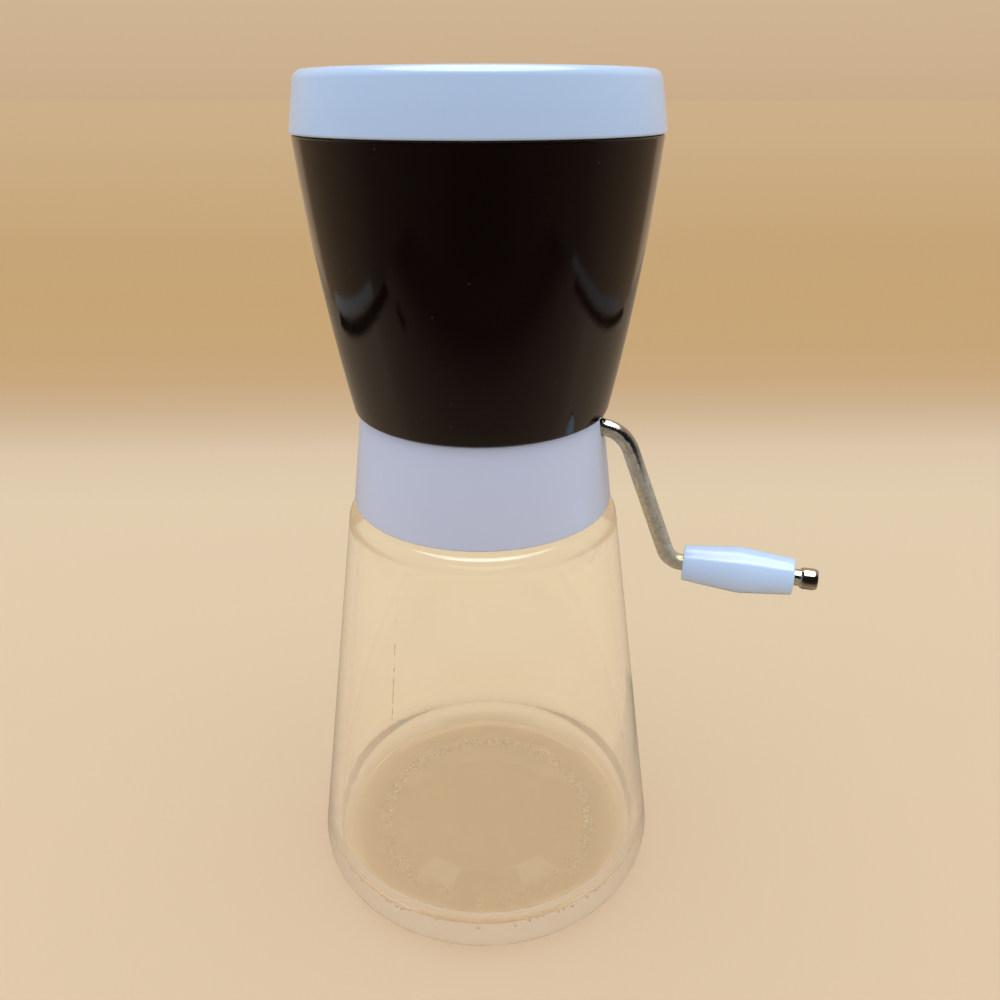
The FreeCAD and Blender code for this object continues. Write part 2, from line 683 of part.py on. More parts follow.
# Blade: a double-ended stamping with hooked, ground arms and a square hole for the shaft's flats.
def make_blade(number):
    label = f"blade_{number}"
    body = new_body(label)
    hub = new_sketch(body, label + "_hub", "YZ_Plane")
    circle(hub, "0", "0", "blade_hub_radius")
    pad(body, hub, label + "_disc", "blade_thickness", both_ways=True)
    arm = new_sketch(body, label + "_arm", "YZ_Plane")
    outline(arm, [
        ("-blade_hub_radius * sin(40)", "blade_hub_radius * cos(40)", "blade_tip_radius", 1),
        ("-blade_tip_radius * sin(9)", "blade_tip_radius * cos(9)", "blade_tip_radius", 1),
        ("blade_tip_radius * sin(15)", "blade_tip_radius * cos(15)", "blade_tip_radius * 0.7", -1),
        ("blade_hub_radius * sin(35)", "blade_hub_radius * cos(35)"),
    ])
    one_arm = pad(body, arm, label + "_arm_pad", "blade_thickness", both_ways=True)
    turn_pattern(body, one_arm, label + "_arms", "X_Axis", 2)
    hole = new_sketch(body, label + "_hole", "YZ_Plane")
    flat = "(flat_half_width + fit_clearance)"
    box_outline(hole, f"-{flat}", flat, f"-{flat}", flat)
    pocket(body, hole, label + "_square", both_ways=True)
    place_body(body, blade_place(number), "shaft_level")
    if number % 2 == 0:
        body.Placement.Rotation = FreeCAD.Rotation(FreeCAD.Vector(1, 0, 0), 90)


def blade_place(number):
    """Where along the shaft a blade's middle lies: blade 1 is the one nearest the crank."""
    return f"{(BLADE_COUNT + 1) / 2 - number} * blade_pitch"


def make_rotor():
    for number in range(1, BLADE_COUNT + 1):
        make_blade(number)
    for number in range(1, BLADE_COUNT):
        start = f"{blade_place(number + 1)} + blade_thickness / 2 + stack_gap"
        length = "blade_pitch - blade_thickness - 2 * stack_gap"
        washer(f"spacer_{number}", "rod_radius + fit_clearance", "spacer_radius", length, start)
    bore = "rod_radius + fit_clearance"
    washer("near_thrust_washer", bore, "washer_radius", "near_washer_thickness", "stack_half + stack_gap")
    far_start = "-far_washer_end"
    washer("far_thrust_washer", "journal_radius + fit_clearance", "washer_radius", "far_washer_thickness", far_start)

    clip = washer("retaining_clip", "groove_radius + fit_clearance", "clip_radius", "clip_thickness", "-clip_end")
    mouth = new_sketch(clip, "clip_mouth", "YZ_Plane")
    box_outline(mouth, "-groove_radius", "groove_radius", "-clip_radius - 1", "0")
    pocket(clip, mouth, "clip_opening", both_ways=True)


# Grip: two tapers that meet in a soft crest, turned about the pin.
def make_crank_grip():
    body = new_body("crank_grip")
    section = new_sketch(body, "grip_section", "XZ_Plane")
    bore = "rod_radius + grip_clearance"
    outline(section, [
        ("grip_start", f"pin_level + {bore}"),
        ("grip_end", f"pin_level + {bore}"),
        ("grip_end", "pin_level + grip_end_radius"),
        ("grip_start + grip_length * 0.58", "pin_level + grip_crest_radius - 0.1", "grip_crest_sweep", -1),
        ("grip_start + grip_length * 0.44", "pin_level + grip_crest_radius - 0.1"),
        ("grip_start", "pin_level + grip_end_radius"),
    ])
    solid = revolve_about_pin(body, section, "grip_turned")
    edges = [("grip_end_radius", "grip_start"), ("grip_end_radius", "grip_end")]
    chamfer(body, solid, "grip_edges", edges, "grip_edge", axis="x")


def revolve_about_pin(body, section, name):
    """Turn a section about the crank pin's own axis, which the section draws as a construction line."""
    low = value("pin_level")
    line = section.addGeometry(Part.LineSegment(FreeCAD.Vector(0, low, 0), FreeCAD.Vector(10, low, 0)), True)
    section.addConstraint(Sketcher.Constraint("Horizontal", line))
    pin_point(section, line, 1, "axis", "0", "pin_level")
    end = Sketcher.Constraint("DistanceX", -1, 1, line, 2, value("grip_length"))
    name_constraint(section, end, "axis_end", "grip_length")
    return revolve(body, section, name, "Axis0")


# End cap: a drawn steel cup pressed over the end of the pin.
def make_grip_cap():
    body = new_body("grip_cap")
    section = new_sketch(body, "cap_section", "XZ_Plane")
    outline(section, [
        ("cap_start", "pin_level + rod_radius"),
        ("pin_end", "pin_level + rod_radius"),
        ("pin_end", "pin_level"),
        ("cap_start + cap_length", "pin_level"),
        ("cap_start + cap_length", "pin_level + cap_radius - 1.5 * cap_edge"),
        ("cap_start + cap_length - cap_edge", "pin_level + cap_radius - cap_edge", "cap_length * 1.6", -1),
        ("cap_start + cap_edge", "pin_level + cap_radius - cap_edge"),
        ("cap_start", "pin_level + cap_radius - 1.5 * cap_edge"),
    ])
    revolve_about_pin(body, section, "cap_turned")


# Lid: a domed cap whose skirt stands on the hopper's rim, with a plug ring that drops inside it.
def make_lid():
    body = new_body("lid")
    section = new_sketch(body, "lid_section", "XZ_Plane")
    skirt = "hopper_mouth + hopper_wall / 3"
    outline(section, [
        ("lid_bottom_radius", "lid_bottom"),
        ("lid_top_radius", "lid_side_top", "lid_dome", -1),
        ("0", "lid_top"),
        ("0", "lid_top - lid_wall"),
        ("plug_radius - plug_wall", "lid_side_top - lid_wall"),
        ("plug_radius - plug_draft - plug_wall", "lid_bottom - plug_depth"),
        ("plug_radius - plug_draft", "lid_bottom - plug_depth"),
        ("plug_radius", "lid_bottom + skirt_groove"),
        (skirt, "lid_bottom + skirt_groove"),
        (skirt, "lid_bottom"),
    ])
    solid = revolve(body, section, "lid_turned")
    solid = fillet(body, solid, "lid_top_edge", [("lid_top_radius", "lid_side_top")], "lid_edge_round")
    chamfer(body, solid, "lid_lower_edge", [("lid_bottom_radius", "lid_bottom")], "moulded_edge")


make_glass_jar()
make_jar_liner()
make_collar()
make_hopper()
make_chopping_grate()
make_hopper_screws()
make_crank_rod()
make_rotor()
make_crank_grip()
make_grip_cap()
make_lid()
doc.recompute()


# Checks, then one file for each piece.
def is_cut(feature):
    return feature.TypeId in ("PartDesign::Pocket", "PartDesign::Groove")


for feature in doc.Objects:
    if "Invalid" in feature.State or "Error" in feature.State:
        raise RuntimeError(f"{feature.Name} failed: {feature.State}")
    if is_cut(feature) and feature.Shape.Volume > feature.BaseFeature.Shape.Volume - 1e-3:
        raise RuntimeError(f"{feature.Name} cuts nothing")

os.makedirs("parts", exist_ok=True)
pieces = [o for o in doc.Objects if o.TypeId in ("PartDesign::Body", "Part::MultiFuse")]
for piece in pieces:
    if piece.Shape.isNull() or not piece.Shape.isValid():
        raise RuntimeError(f"{piece.Label} has no valid shape")
for piece in pieces:
    piece.Shape.exportStep(f"parts/{piece.Label}.step")
    box = piece.Shape.BoundBox
    print(f"{piece.Label:20s} {len(piece.Shape.Solids)} solids {piece.Shape.Volume:10.1f} mm3 "
          f"x {box.XMin:7.2f} {box.XMax:7.2f} y {box.YMin:7.2f} {box.YMax:7.2f} z {box.ZMin:7.2f} {box.ZMax:7.2f}")
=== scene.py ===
"""A hand cranked nut chopper: a pressed glass jar, a white screw collar, a dark flared hopper with a white
lid, and a bent plated crank that turns six blades through a slotted grate.

Lengths in the classes are millimetres, with +Z up and +X the way the crank shaft leaves the body.
"""

import logging
import math
from collections.abc import Callable, Sequence
from dataclasses import dataclass
from enum import Enum
from functools import partial

import bmesh
import bpy
from mathutils import Matrix, Vector


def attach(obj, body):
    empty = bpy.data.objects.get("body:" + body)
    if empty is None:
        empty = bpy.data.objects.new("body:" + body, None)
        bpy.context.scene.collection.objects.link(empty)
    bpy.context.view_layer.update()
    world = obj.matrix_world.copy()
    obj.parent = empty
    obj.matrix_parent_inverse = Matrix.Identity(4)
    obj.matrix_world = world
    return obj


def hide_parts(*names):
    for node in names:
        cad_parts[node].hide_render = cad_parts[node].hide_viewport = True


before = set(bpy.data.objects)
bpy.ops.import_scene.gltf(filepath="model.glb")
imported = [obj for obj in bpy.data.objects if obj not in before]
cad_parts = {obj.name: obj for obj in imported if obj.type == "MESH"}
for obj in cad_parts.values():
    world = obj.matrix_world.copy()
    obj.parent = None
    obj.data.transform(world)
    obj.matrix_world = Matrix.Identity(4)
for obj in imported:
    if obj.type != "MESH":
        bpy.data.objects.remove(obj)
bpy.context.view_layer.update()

MM = 0.001
# What a socket can be linked to, and what adds a node to one tree.
Source = bpy.types.Node | bpy.types.NodeSocket
Adder = Callable[..., bpy.types.Node]
log = logging.getLogger("nut_chopper")


# Colour and shader nodes


def linear(code: str) -> tuple[float, float, float, float]:
    """Turn an sRGB hex colour into the linear values that shaders take.

    Args:
        code: Six hex digits, with or without a leading #.

    Returns:
        Red, green, blue and an alpha of 1.
    """
    digits = code.lstrip("#")
    parts = [int(digits[i:i + 2], 16) / 255 for i in (0, 2, 4)]
    red, green, blue = (c / 12.92 if c <= 0.04045 else ((c + 0.055) / 1.055) ** 2.4 for c in parts)
    return red, green, blue, 1.0


def per_metre(size: float) -> float:
    """Texture scale of a pattern whose features are `size` millimetres apart."""
    return 1.0 / (size * MM)


def add_node(
    tree: bpy.types.NodeTree, kind: str, inputs: Sequence | dict = (),
    stops: Sequence[tuple[float, str]] = (), **settings: object,
) -> bpy.types.Node:
    """Add one shader node with its settings, values and links.

    Args:
        tree: The node tree of a material or the world.
        kind: The node's type without "ShaderNode".
        inputs: What its sockets take, in their order or by name or number: a value, another node's output,
            or a node, which stands for its first output.
        stops: For a colour ramp, places from 0 to 1, each with its sRGB hex colour.
        settings: The node's own properties.

    Returns:
        The new node.
    """
    node = tree.nodes.new("ShaderNode" + kind)
    for name, setting in settings.items():
        setattr(node, name, setting)
    for name, source in inputs.items() if isinstance(inputs, dict) else enumerate(inputs):
        socket = node.inputs[name]
        if isinstance(source, Source):
            tree.links.new(source.outputs[0] if isinstance(source, bpy.types.Node) else source, socket)
        else:
            socket.default_value = source
    for _ in stops[2:]:
        node.color_ramp.elements.new(1.0)
    for element, (place, code) in zip(node.color_ramp.elements if stops else (), stops):
        element.position = place
        element.color = linear(code)
    return node


def emptied(holder: bpy.types.Material | bpy.types.World) -> Adder:
    """Clear a material's or world's node tree.

    Args:
        holder: The material or world.

    Returns:
        add_node, set to add to that tree.
    """
    holder.use_nodes = True
    holder.node_tree.nodes.clear()
    return partial(add_node, holder.node_tree)


# Finishes


@dataclass(frozen=True)
class Finish:
    """What every finish has: a name, a written colour and a gloss."""

    name: str
    colour: str
    roughness: float

    def start(self) -> tuple[bpy.types.Material, Adder, Source]:
        """Make an empty material.

        Returns:
            The material, what adds nodes to it, and the object coordinates in it.
        """
        material = bpy.data.materials.new(self.name)
        material.diffuse_color = linear(self.colour)
        add = emptied(material)
        return material, add, add("TexCoord").outputs["Object"]


@dataclass(frozen=True)
class MouldedPolystyrene(Finish):
    """Injection moulded polystyrene from a polished tool: an even glossy skin, a faint orange peel, flow
    marks a shade off, and hair scratches and small scuffs from years of washing and handling."""

    shade: str = "#FFFFFF"
    scuff: str = "#FFFFFF"
    scuff_amount: float = 0.3
    peel: float = 0.02
    dust: float = 0.0

    def make(self) -> bpy.types.Material:
        """Build the material.

        Returns:
            The material.
        """
        material, add, place = self.start()
        # Flow marks: slow clouds about 30 mm across, where the melt front cooled.
        cloud = add("TexNoise", {"Vector": place, "Scale": per_metre(30), "Detail": 2.0})
        colour = add("ValToRGB", [cloud], [(0.3, self.colour), (0.7, self.shade)])
        # Hair scratches: real ones are 0.02 mm wide, drawn 0.15 mm wide so that they show.
        streaks = []
        for turn in (0.5, 2.3):
            turned = (turn, 0.4 * turn, turn)
            lay = add("Mapping", {"Vector": place, "Rotation": turned, "Scale": (1, 1, 0.04)})
            streak = add("TexNoise", {"Vector": lay, "Scale": per_metre(0.9), "Detail": 1.0})
            streaks.append(add("MapRange", [streak, 0.79, 0.83]))
        scratch = add("Math", streaks, operation="MAXIMUM")
        # Scuffs: dull patches 6 mm across.
        patch = add("TexNoise", {"Vector": place, "Scale": per_metre(6), "Detail": 6.0, "Roughness": 0.7})
        dull = add("MapRange", [patch, 0.5, 0.8, 0.0, self.scuff_amount])
        rough = add("Math", [dull, 0.3, self.roughness], operation="MULTIPLY_ADD")
        rough = add("Math", [scratch, 0.25, rough], operation="MULTIPLY_ADD")
        # Specks of nut dust: pale grains 0.3 mm across, far apart.
        speck = add("TexVoronoi", {"Vector": place, "Scale": per_metre(4.5), "Randomness": 1.0})
        grain = add("MapRange", [speck, 0.045, 0.03, 0.0, self.dust])
        mark = add("Math", [scratch, self.scuff_amount * 0.5, grain], operation="MULTIPLY_ADD")
        tint = add("Mix", {0: mark, 6: colour, 7: linear(self.scuff)}, data_type="RGBA").outputs[2]
        # Orange peel: swells 1.6 mm apart and a few microns high.
        swell = add("TexNoise", {"Vector": place, "Scale": per_metre(1.6), "Detail": 1.0})
        height = add("Math", [scratch, -0.6, swell], operation="MULTIPLY_ADD")
        bump = add("Bump", {"Height": height, "Strength": self.peel, "Distance": 0.0004})
        shader = add("BsdfPrincipled", {"Base Color": tint, "Roughness": rough, "Normal": bump, "IOR": 1.59})
        add("OutputMaterial", {"Surface": shader})
        return material


@dataclass(frozen=True)
class PressedGlass(Finish):
    """Soda-lime jar glass, pressed and blown in an iron mould: clear with a faint straw tint, a skin that
    swells slowly, which bends the outlines seen through it, and a mould seam that shows as a line of specks.

    seam is the seam's bearing in degrees and seam_level its middle, which reaches seam_half up and down.
    The specks lie on the outside only, where the distance from the axis is more than the cone's through
    seam_radius at the foot.
    """

    wave: float = 0.04
    seam: float = -107.7
    seam_level: float = 78.0
    seam_half: float = 20.0
    seam_radius: float = 47.5
    taper: float = 0.1425
    seam_colour: str = "#BBAD8C"

    def seam_mark(self, add: Adder, place: Source) -> Source:
        """Mark the mould seam: a broken line of specks up the wall, 0.35 mm wide.

        Args:
            add: What adds nodes to the material.
            place: The object coordinates.

        Returns:
            1 on the specks, 0 off them.
        """
        parts = add("SeparateXYZ", [place]).outputs
        angle = add("Math", [parts["Y"], parts["X"]], operation="ARCTAN2")
        off = add("Math", [angle, math.radians(self.seam)], operation="SUBTRACT")
        off = add("Math", [off], operation="ABSOLUTE")
        line = add("MapRange", [off, 0.006, 0.003])
        # Specks 0.9 mm apart, on the middle of the wall only.
        speck = add("TexNoise", {"Vector": place, "Scale": per_metre(0.9), "Detail": 2.0})
        speck = add("MapRange", [speck, 0.48, 0.56])
        height = add("Math", [parts["Z"], self.seam_level * MM], operation="SUBTRACT")
        height = add("Math", [height], operation="ABSOLUTE")
        span = add("MapRange", [height, self.seam_half * MM, self.seam_half * 0.65 * MM])
        level = add("VectorMath", [place, (1, 1, 0)], operation="MULTIPLY")
        radius = add("VectorMath", [level], operation="LENGTH").outputs["Value"]
        cone = add("Math", [parts["Z"], self.taper, radius], operation="MULTIPLY_ADD")
        mark = add("Math", [cone, self.seam_radius * MM], operation="GREATER_THAN")
        for share in (line, speck, span):
            mark = add("Math", [mark, share], operation="MULTIPLY")
        return mark

    def make(self) -> bpy.types.Material:
        """Build the material, which lets the lamps' light through its shadow.

        Returns:
            The material.
        """
        material, add, place = self.start()
        # Mould swells: 14 mm apart, a hundredth of a millimetre high.
        swell = add("TexNoise", {"Vector": place, "Scale": per_metre(14), "Detail": 1.5})
        bump = add("Bump", {"Height": swell, "Strength": self.wave, "Distance": 0.001})
        mark = self.seam_mark(add, place)
        tint = add("Mix", {0: mark, 6: linear(self.colour), 7: linear(self.seam_colour)}, data_type="RGBA")
        shader = add("BsdfPrincipled", {
            "Base Color": tint.outputs[2], "Roughness": self.roughness, "IOR": 1.52,
            "Transmission Weight": 1.0, "Normal": bump,
        })
        clear = add("BsdfTransparent", {"Color": linear("#FFFFFF")})
        # Light caught between the two faces of the thick floor gets out after two turns.
        path = add("LightPath").outputs
        caught = add("Math", [path["Glossy Depth"], 1.5], operation="GREATER_THAN")
        share = add("Math", [path["Is Shadow Ray"], caught], operation="MAXIMUM")
        mix = add("MixShader", [share, shader, clear])
        add("OutputMaterial", {"Surface": mix})
        return material


@dataclass(frozen=True)
class WornSteel(Finish):
    """Steel under plating or bare, drawn, stamped or turned: mirror-like with a soft grain along the way it
    was worked, with brown pits, and dull brown where the surface has worn through.

    kept is the way that a side faces to keep its plating, with none for a piece that isn't rubbed. On a
    rubbed piece the plating is gone all round for handled_half on both sides of handled, along X.
    """

    worn: str = "#5A4A38"
    wear: float = 0.3
    grain: float = 0.0
    grain_scale: tuple[float, float, float] = (1.0, 1.0, 1.0)
    pits: float = 0.0
    kept: tuple[float, float, float] = (0.0, 0.0, 0.0)
    handled: float = 54.5
    handled_half: float = 13.5
    bare: str = "#D9C9A6"

    def rubbed(self, add: Adder, place: Source, mottle: Source) -> Source:
        """Mark where the plating gives way to bare steel: on sides turned away from kept, and all round the
        handled part along X.

        Args:
            add: What adds nodes to the material.
            place: The object coordinates.
            mottle: The pattern that makes the edges uneven.

        Returns:
            1 where it is gone, 0 where it is kept.
        """
        faced = add("TexCoord").outputs["Normal"]
        kept = add("VectorMath", [faced, self.kept], operation="DOT_PRODUCT").outputs["Value"]
        edge = add("Math", [mottle, 0.4, kept], operation="MULTIPLY_ADD")
        turned_away = add("MapRange", [edge, 0.58, 0.48])
        # The hand has rubbed the whole arm, from the first bend to the grip.
        along = add("SeparateXYZ", [place]).outputs["X"]
        along = add("Math", [mottle, 6 * MM, along], operation="MULTIPLY_ADD")
        along = add("Math", [along, self.handled * MM], operation="SUBTRACT")
        along = add("Math", [along], operation="ABSOLUTE")
        handled = add("MapRange", [along, self.handled_half * MM, (self.handled_half - 2.5) * MM])
        return add("Math", [turned_away, handled], operation="MAXIMUM")

    def make(self) -> bpy.types.Material:
        """Build the material.

        Returns:
            The material.
        """
        material, add, place = self.start()
        # Wear: mottled patches about 1.3 mm across with finer spots inside them.
        mottle = add("TexNoise", {
            "Vector": place, "Scale": per_metre(1.3), "Detail": 5.0, "Roughness": 0.75,
        })
        worn = add("MapRange", [mottle, 0.45, 0.75, 0.0, self.wear])
        rubbed = self.rubbed(add, place, mottle) if any(self.kept) else 0.0
        # Pits: 0.25 mm spots of rust in the plating.
        dot = add("TexVoronoi", {"Vector": place, "Scale": per_metre(1.1), "Randomness": 1.0})
        pit = add("MapRange", [dot, 0.2, 0.1, 0.0, self.pits])
        mark = add("Math", [worn, pit], operation="MAXIMUM")
        skin = add("Mix", {0: rubbed, 6: linear(self.colour), 7: linear(self.bare)}, data_type="RGBA")
        tint = add("Mix", {0: mark, 6: skin.outputs[2], 7: linear(self.worn)}, data_type="RGBA").outputs[2]
        # Grain: fine lines left by the drawing die or the grinding belt, 0.12 mm apart.
        lay = add("Mapping", {"Vector": place, "Scale": self.grain_scale})
        line = add("TexNoise", {"Vector": lay, "Scale": per_metre(0.12), "Detail": 1.0})
        height = add("Math", [mark, -1.0, line], operation="MULTIPLY_ADD")
        bump = add("Bump", {"Height": height, "Strength": self.grain, "Distance": 0.0001})
        rough = add("Math", [mark, 0.3, self.roughness], operation="MULTIPLY_ADD")
        rough = add("Math", [rubbed, 0.2, rough], operation="MULTIPLY_ADD")
        metal = add("MapRange", [rubbed, 0.0, 1.0, 1.0, 0.4])
        shader = add("BsdfPrincipled", {
            "Base Color": tint, "Metallic": metal, "Roughness": rough, "Normal": bump,
        })
        add("OutputMaterial", {"Surface": shader})
        return material


@dataclass(frozen=True)
class PulpBoard(Finish):
    """Waxed pulp board punched into a ring: matt, off-white, with fibres lying every way."""

    fibre: str = "#C9BCA0"

    def make(self) -> bpy.types.Material:
        """Build the material.

        Returns:
            The material.
        """
        material, add, place = self.start()
        # Fibres: 0.4 mm flecks.
        fleck = add("TexNoise", {"Vector": place, "Scale": per_metre(0.4), "Detail": 4.0})
        colour = add("ValToRGB", [fleck], [(0.35, self.fibre), (0.6, self.colour)])
        bump = add("Bump", {"Height": fleck, "Strength": 0.4, "Distance": 0.0002})
        shader = add("BsdfPrincipled", {"Base Color": colour, "Roughness": self.roughness, "Normal": bump})
        add("OutputMaterial", {"Surface": shader})
        return material


class Stock(Enum):
    """The finishes that the pieces are made in."""

    WHITE = MouldedPolystyrene("moulded_white_polystyrene", "#D5E4EE", 0.2, "#D2E2ED", "#C9CDD2", 0.1)
    # The collar's copy of the white plastic is written greyer and warmer than the lid's: painted warm light
    # thrown up from the paper.
    COLLAR = MouldedPolystyrene(
        "moulded_white_polystyrene_painted_warm", "#DCDADB", 0.2, "#DAD8DA", "#C9CDD2", 0.1
    )
    BROWN = MouldedPolystyrene(
        "moulded_brown_polystyrene", "#0E0504", 0.07, "#110706", "#5A4A40", 0.12, peel=0.01, dust=0.5
    )
    GLASS = PressedGlass("pressed_soda_lime_glass", "#FDFDFA", 0.0)
    NICKEL = WornSteel(
        "nickel_plated_wire", "#CBC8C0", 0.08, "#7E6A4A", wear=0.6, grain=0.3,
        grain_scale=(0.2, 1, 0.2), pits=0.9, kept=(0.3, 0.0, 0.95)
    )
    CUP = WornSteel("nickel_plated_cup", "#CBC8C0", 0.07, "#5E4E36", wear=0.15, grain=0.05, pits=0.3)
    TIN = WornSteel("tinned_sheet_steel", "#C9CBC8", 0.26, "#8C8A80", wear=0.35, grain=0.1)
    BLADE = WornSteel(
        "ground_blade_steel", "#BFC1C2", 0.22, "#7C7468", wear=0.25, grain=0.35, grain_scale=(1, 0.1, 1)
    )
    STEEL = WornSteel("turned_plain_steel", "#B4B3AE", 0.28, "#6E6353", wear=0.3, grain=0.2)
    BOARD = PulpBoard("waxed_pulp_board", "#E6DFCC", 0.75)

    def material(self) -> bpy.types.Material:
        """The finish's material, built the first time it is asked for."""
        return bpy.data.materials.get(self.value.name) or self.value.make()


# Shaping


# What lays a piece that is made about Z along X.
ALONG_X = Matrix.Rotation(math.pi / 2, 4, "Y")
# Edges that turn further than CREASE stay sharp, and on a stamping those past EASED get a bevel. Faces that
# turn less than FLAT become one, and so do points closer than WELD.
CREASE = math.radians(35)
EASED = 0.6
FLAT = math.radians(0.5)
WELD = 1e-4


@dataclass(frozen=True)
class Corner:
    """One corner of a turned section.

    r is its distance from the axis and z its place along it. round is the radius of the round on it, in
    `steps` pieces, and cuts is how often the side that follows it is divided.
    """

    r: float
    z: float
    round: float = 0.0
    steps: int = 6
    cuts: int = 0


def put(name: str, data: bpy.types.ID) -> bpy.types.Object:
    """Stand an object in the scene.

    Args:
        name: The object's name.
        data: Its mesh, camera or light.

    Returns:
        The object.
    """
    made = bpy.data.objects.new(name, data)
    bpy.context.scene.collection.objects.link(made)
    return made


def from_axis(spot: Vector) -> float:
    """A point's distance from the Z axis."""
    return math.hypot(spot.x, spot.y)


def spread(spot: Vector, factor: float) -> Vector:
    """A point moved level, to `factor` times its distance from the Z axis."""
    return Vector((spot.x * factor, spot.y * factor, spot.z))


def smooth_step(x: float) -> float:
    """Ease from 0 to 1 as x does."""
    x = min(max(x, 0.0), 1.0)
    return x * x * (3 - 2 * x)


class Blank:
    """A workpiece in millimetres, shaped step by step and handed over as a finished piece."""

    def __init__(self) -> None:
        """Start with nothing on the bench."""
        self.work = bmesh.new()

    def trace(self, section: Sequence[Corner], closed: bool) -> None:
        """Draw a section in the XZ plane with its rounds.

        Args:
            section: The corners in order.
            closed: Whether the last corner joins the first.
        """
        spots = [Vector((c.r, 0, c.z)) for c in section]
        count, drawn, gaps = len(section), [], []
        for i, corner in enumerate(section):
            at = spots[i]
            if corner.round and (closed or 0 < i < count - 1):
                back = (spots[i - 1] - at).normalized()
                ahead = (spots[(i + 1) % count] - at).normalized()
                half = back.angle(ahead) / 2
                start = at + back * (corner.round / math.tan(half))
                hub = at + (back + ahead).normalized() * (corner.round / math.sin(half))
                before = set(self.work.verts)
                bmesh.ops.spin(
                    self.work, geom=[self.work.verts.new(start)], cent=hub, axis=ahead.cross(back),
                    angle=math.pi - 2 * half, steps=corner.steps,
                )
                fresh = [v for v in self.work.verts if v not in before]
                bend = sorted(fresh, key=lambda v: (v.co - start).length)
            else:
                bend = [self.work.verts.new(at)]
            if drawn:
                gaps.append((drawn[-1][-1], bend[0], section[i - 1].cuts))
            drawn.append(bend)
        if closed:
            gaps.append((drawn[-1][-1], drawn[0][0], section[-1].cuts))
        for start, stop, cuts in gaps:
            row = [start]
            for k in range(cuts):
                row.append(self.work.verts.new(start.co.lerp(stop.co, (k + 1) / (cuts + 1))))
            row.append(stop)
            for pair in zip(row, row[1:]):
                self.work.edges.new(pair)

    def turn(self, section: Sequence[Corner], steps: int, closed: bool = False) -> "Blank":
        """Turn a section about the Z axis into a closed skin.

        Args:
            section: The corners in order.
            steps: How many faces go round.
            closed: Whether the section is a loop clear of the axis.

        Returns:
            The blank itself.
        """
        before = set(self.work.verts)
        self.trace(section, closed)
        fresh = [v for v in self.work.verts if v not in before]
        edges = list({e for v in fresh for e in v.link_edges})
        bmesh.ops.spin(
            self.work, geom=fresh + edges, cent=(0, 0, 0), axis=(0, 0, 1), angle=math.tau, steps=steps,
            use_merge=True,
        )
        made = [v for v in self.work.verts if v not in before]
        bmesh.ops.remove_doubles(self.work, verts=made, dist=WELD)
        made = [v for v in self.work.verts if v not in before]
        bmesh.ops.recalc_face_normals(self.work, faces=list({f for v in made for f in v.link_faces}))
        return self

    def sculpt(self, move: Callable[[Vector], Vector]) -> "Blank":
        """Move every point.

        Args:
            move: Says where a point goes.

        Returns:
            The blank itself.
        """
        for vert in self.work.verts:
            vert.co = move(vert.co)
        return self

    def place(self, matrix: Matrix) -> "Blank":
        """Turn and shift the whole blank."""
        bmesh.ops.transform(self.work, matrix=matrix, verts=self.work.verts)
        return self

    def mesh(self, name: str) -> bpy.types.Mesh:
        """Hand over the blank, which is used up.

        Args:
            name: The mesh's name.

        Returns:
            The mesh.
        """
        made = bpy.data.meshes.new(name)
        self.work.to_mesh(made)
        self.work.free()
        return made

    def take_in(self, other: "Blank") -> None:
        """Take another blank in beside this one.

        Args:
            other: The blank, which is used up.
        """
        spare = other.mesh("spare")
        self.work.from_mesh(spare)
        bpy.data.meshes.remove(spare)

    def combine(self, operation: str, others: Sequence["Blank"]) -> "Blank":
        """Join other closed blanks to this one, or cut them out of it.

        Args:
            operation: UNION or DIFFERENCE.
            others: The blanks, which are used up.

        Returns:
            The blank itself.
        """
        body = put("combined", self.mesh("combined"))
        spent = [body]
        for other in others:
            tool = put("tool", other.mesh("tool"))
            step = body.modifiers.new("combine", "BOOLEAN")
            step.operation, step.solver, step.object = operation, "EXACT", tool
            spent.append(tool)
        graph = bpy.context.evaluated_depsgraph_get()
        result = bpy.data.meshes.new_from_object(body.evaluated_get(graph))
        self.work = bmesh.new()
        self.work.from_mesh(result)
        for thing in spent:
            mesh = thing.data
            bpy.data.objects.remove(thing)
            bpy.data.meshes.remove(mesh)
        bpy.data.meshes.remove(result)
        return self

    def join(self, *others: "Blank") -> "Blank":
        """Join other closed blanks to this one."""
        return self.combine("UNION", others)

    def cut(self, *others: "Blank") -> "Blank":
        """Cut other closed blanks out of this one."""
        return self.combine("DIFFERENCE", others)

    def finish(self, name: str, stock: Stock, body: str, slot: str, nodes: Sequence[str]) -> None:
        """Smooth the blank, scale it to metres, and set it in the assembly.

        Args:
            name: The piece's name.
            stock: The finish that it is made in.
            body: The body of the frame that it moves with.
            slot: The record's material slot that its finish goes by. Not used.
            nodes: The frame's nodes that it stands for.
        """
        for face in self.work.faces:
            face.smooth = True
        for edge in self.work.edges:
            edge.smooth = len(edge.link_faces) == 2 and edge.calc_face_angle(0.0) < CREASE
        self.place(Matrix.Scale(MM, 4))
        piece = put(name, self.mesh(name))
        piece.data.materials.append(stock.material())
        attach(piece, body)
        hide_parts(*nodes)
        log.info("%s: %d faces", name, len(piece.data.polygons))


def box_blank(low: Sequence[float], high: Sequence[float]) -> Blank:
    """Saw a plain block, to cut with or to join on.

    Args:
        low: The corner with the lowest coordinates.
        high: The corner with the highest ones.

    Returns:
        The block.
    """
    blank = Blank()
    bmesh.ops.create_cube(blank.work, size=1.0)
    size = Vector(high) - Vector(low)
    middle = (Vector(high) + Vector(low)) / 2
    return blank.place(Matrix.Translation(middle) @ Matrix.Diagonal((*size, 1.0)))


def peg(radius: float, start: float, stop: float, steps: int = 48) -> Blank:
    """A closed cylinder about the Z axis from start to stop."""
    corners = [Corner(0, start), Corner(radius, start), Corner(radius, stop), Corner(0, stop)]
    return Blank().turn(corners, steps)


# Sub-assemblies


